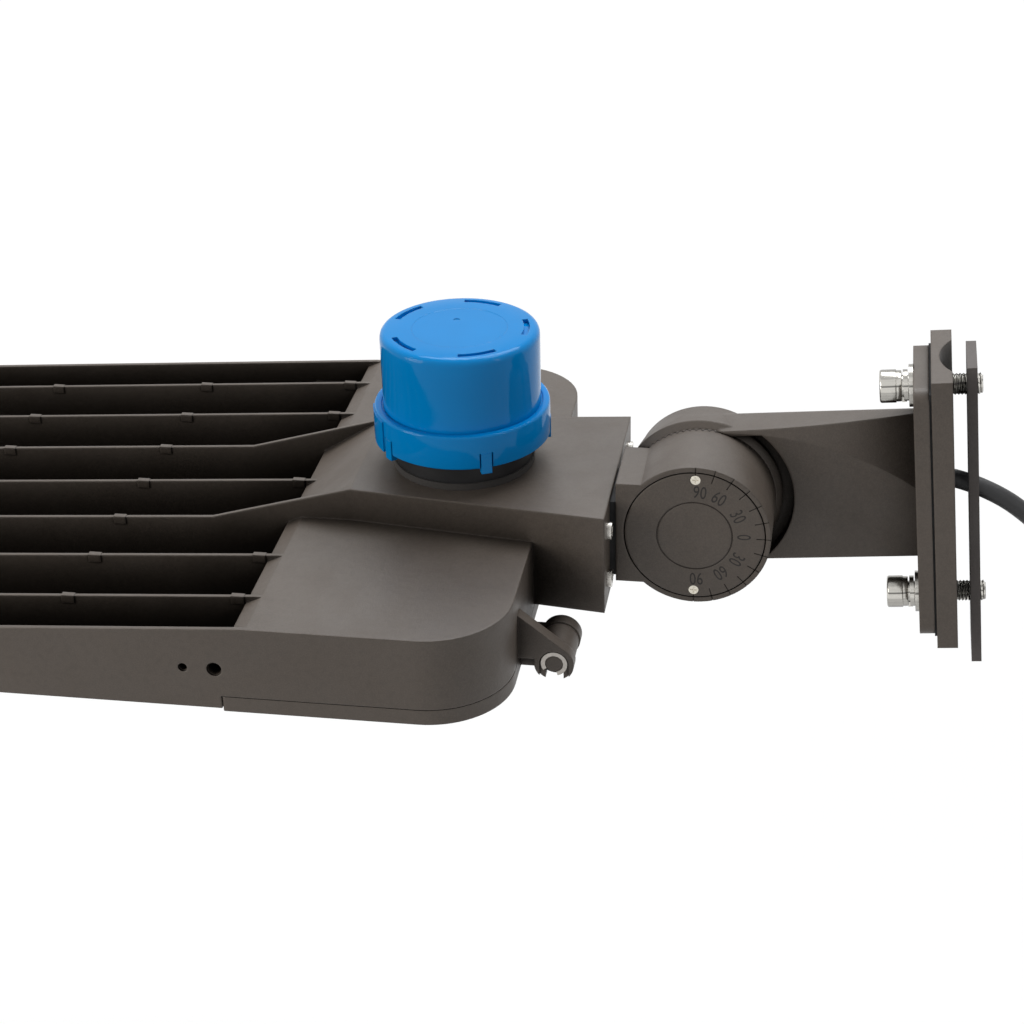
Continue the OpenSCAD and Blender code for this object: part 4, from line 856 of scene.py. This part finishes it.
def dial_number(text, angle):
    """A plain number on the dial, its top towards the rim."""
    data = bpy.data.curves.new("dial_" + text, "FONT")
    data.body = text
    data.size = DIAL_SIZE * MM
    data.align_x = "CENTER"
    data.align_y = "CENTER"
    data.resolution_u = 6
    data.extrude = 0.02 * MM
    data.space_character = 1.05
    ob = bpy.data.objects.new("dial_number_%s_%d" % (text, round(angle + 90)), data)
    bpy.context.collection.objects.link(ob)
    a = math.radians(angle)
    # the dial faces -Y: its plane is X to the right and Z up
    up = Vector((math.cos(a), 0, math.sin(a)))
    right = Vector((math.sin(a), 0, -math.cos(a)))
    out = Vector((0, -1, 0))
    m = Matrix((right * DIAL_WIDTH, up, out)).transposed().to_4x4()
    m.translation = Vector((DIAL_R * math.cos(a), DIAL_FACE, DIAL_R * math.sin(a))) * MM
    ob.matrix_world = HEAD @ m
    data.materials.append(MATERIALS["dark_marks_and_painted_shade"])
    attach(ob, "head")


for text, angle in DIAL_NUMBERS:
    dial_number(text, angle)


# Floor, world and lamps
# In metres: what the lamps look at, the floor, and where its shadows fade to plain white
MIDDLE = (-0.22, 0, 0)
FLOOR_HALF = 9.0
FLOOR_Z = -0.43
FADE_FROM = 0.7
FADE_TO = 1.7

# How much of the floor is lit near the object, its glow, and the world's soft light
FLOOR_LIT = 0.26
FLOOR_GLOW = 1.03
WORLD_LIGHT = 0.34


def white_stage(tree, ground, light):
    """Shows the ground to the camera, to gloss and to glass, and lights the object with the light."""
    path = add_node(tree, "ShaderNodeLightPath")
    gloss = add_node(tree, "ShaderNodeMath", operation="MAXIMUM")
    tree.links.new(path.outputs["Is Glossy Ray"], gloss.inputs[0])
    tree.links.new(path.outputs["Is Transmission Ray"], gloss.inputs[1])
    seen = add_node(tree, "ShaderNodeMath", operation="MAXIMUM")
    tree.links.new(path.outputs["Is Camera Ray"], seen.inputs[0])
    tree.links.new(gloss.outputs[0], seen.inputs[1])
    mix = add_node(tree, "ShaderNodeMixShader")
    tree.links.new(seen.outputs[0], mix.inputs[0])
    tree.links.new(light.outputs[0], mix.inputs[1])
    tree.links.new(ground.outputs[0], mix.inputs[2])
    return mix


def floor_material():
    """White that takes light and shadow near the object, and is clear from below."""
    mat = bpy.data.materials.new("floor")
    mat.use_nodes = True
    t = mat.node_tree
    t.nodes.clear()
    out = add_node(t, "ShaderNodeOutputMaterial")
    plain_light = add_node(t, "ShaderNodeBsdfDiffuse", Color=(0.55, 0.55, 0.55, 1))
    lit = add_node(t, "ShaderNodeBsdfDiffuse", Color=(0.92, 0.92, 0.92, 1))
    glow = add_node(t, "ShaderNodeEmission", Color=(1, 1, 1, 1), Strength=FLOOR_GLOW)
    ground = add_node(t, "ShaderNodeMixShader")
    place = add_node(t, "ShaderNodeNewGeometry")
    far = add_node(t, "ShaderNodeVectorMath", operation="LENGTH")
    t.links.new(place.outputs["Position"], far.inputs[0])
    fade = add_node(t, "ShaderNodeMapRange", From_Min=FADE_FROM, From_Max=FADE_TO, To_Min=FLOOR_LIT,
                    To_Max=0.0)
    t.links.new(far.outputs["Value"], fade.inputs["Value"])
    t.links.new(fade.outputs[0], ground.inputs[0])
    t.links.new(glow.outputs[0], ground.inputs[1])
    t.links.new(lit.outputs[0], ground.inputs[2])
    above = white_stage(t, ground, plain_light)
    below = add_node(t, "ShaderNodeMixShader")
    clear = add_node(t, "ShaderNodeBsdfTransparent")
    t.links.new(place.outputs["Backfacing"], below.inputs[0])
    t.links.new(above.outputs[0], below.inputs[1])
    t.links.new(clear.outputs[0], below.inputs[2])
    t.links.new(below.outputs[0], out.inputs[0])
    return mat


def add_floor():
    """A wide floor below the cord's end."""
    mesh = bpy.data.meshes.new("floor")
    corners = ((-1, -1), (1, -1), (1, 1), (-1, 1))
    verts = [(x * FLOOR_HALF, y * FLOOR_HALF, FLOOR_Z) for x, y in corners]
    mesh.from_pydata(verts, [], [(0, 1, 2, 3)])
    mesh.materials.append(floor_material())
    link("floor", mesh)


def add_world():
    """A white world with a soft light of its own."""
    world = bpy.data.worlds.new("world")
    bpy.context.scene.world = world
    world.use_nodes = True
    t = world.node_tree
    t.nodes.clear()
    out = add_node(t, "ShaderNodeOutputWorld")
    white = add_node(t, "ShaderNodeBackground", Color=(1, 1, 1, 1), Strength=1.0)
    soft = add_node(t, "ShaderNodeBackground", Color=(0.96, 0.98, 1.0, 1), Strength=WORLD_LIGHT)
    t.links.new(white_stage(t, white, soft).outputs[0], out.inputs[0])


def area(name, at, size, power, tint):
    """An area lamp that looks at the middle of the object."""
    data = bpy.data.lights.new(name, "AREA")
    data.shape = "RECTANGLE"
    data.size, data.size_y = size
    data.energy = power
    data.color = tint
    ob = bpy.data.objects.new(name, data)
    bpy.context.collection.objects.link(ob)
    ob.location = at
    ob.rotation_euler = (Vector(MIDDLE) - Vector(at)).to_track_quat("-Z", "Y").to_euler()


add_floor()
add_world()
area("top_soft", at=(0.15, 0.75, 1.5), size=(1.8, 1.0), power=29.5, tint=(0.98, 0.99, 1.0))
area("front_left", at=(-1.75, -1.02, 0.7), size=(0.9, 1.2), power=18.5, tint=(1.0, 0.97, 0.92))
area("right_strip", at=(1.3, -0.75, 0.55), size=(0.11, 1.0), power=1.6, tint=(1.0, 1.0, 1.0))
bpy.context.scene.view_settings.view_transform = "Standard"
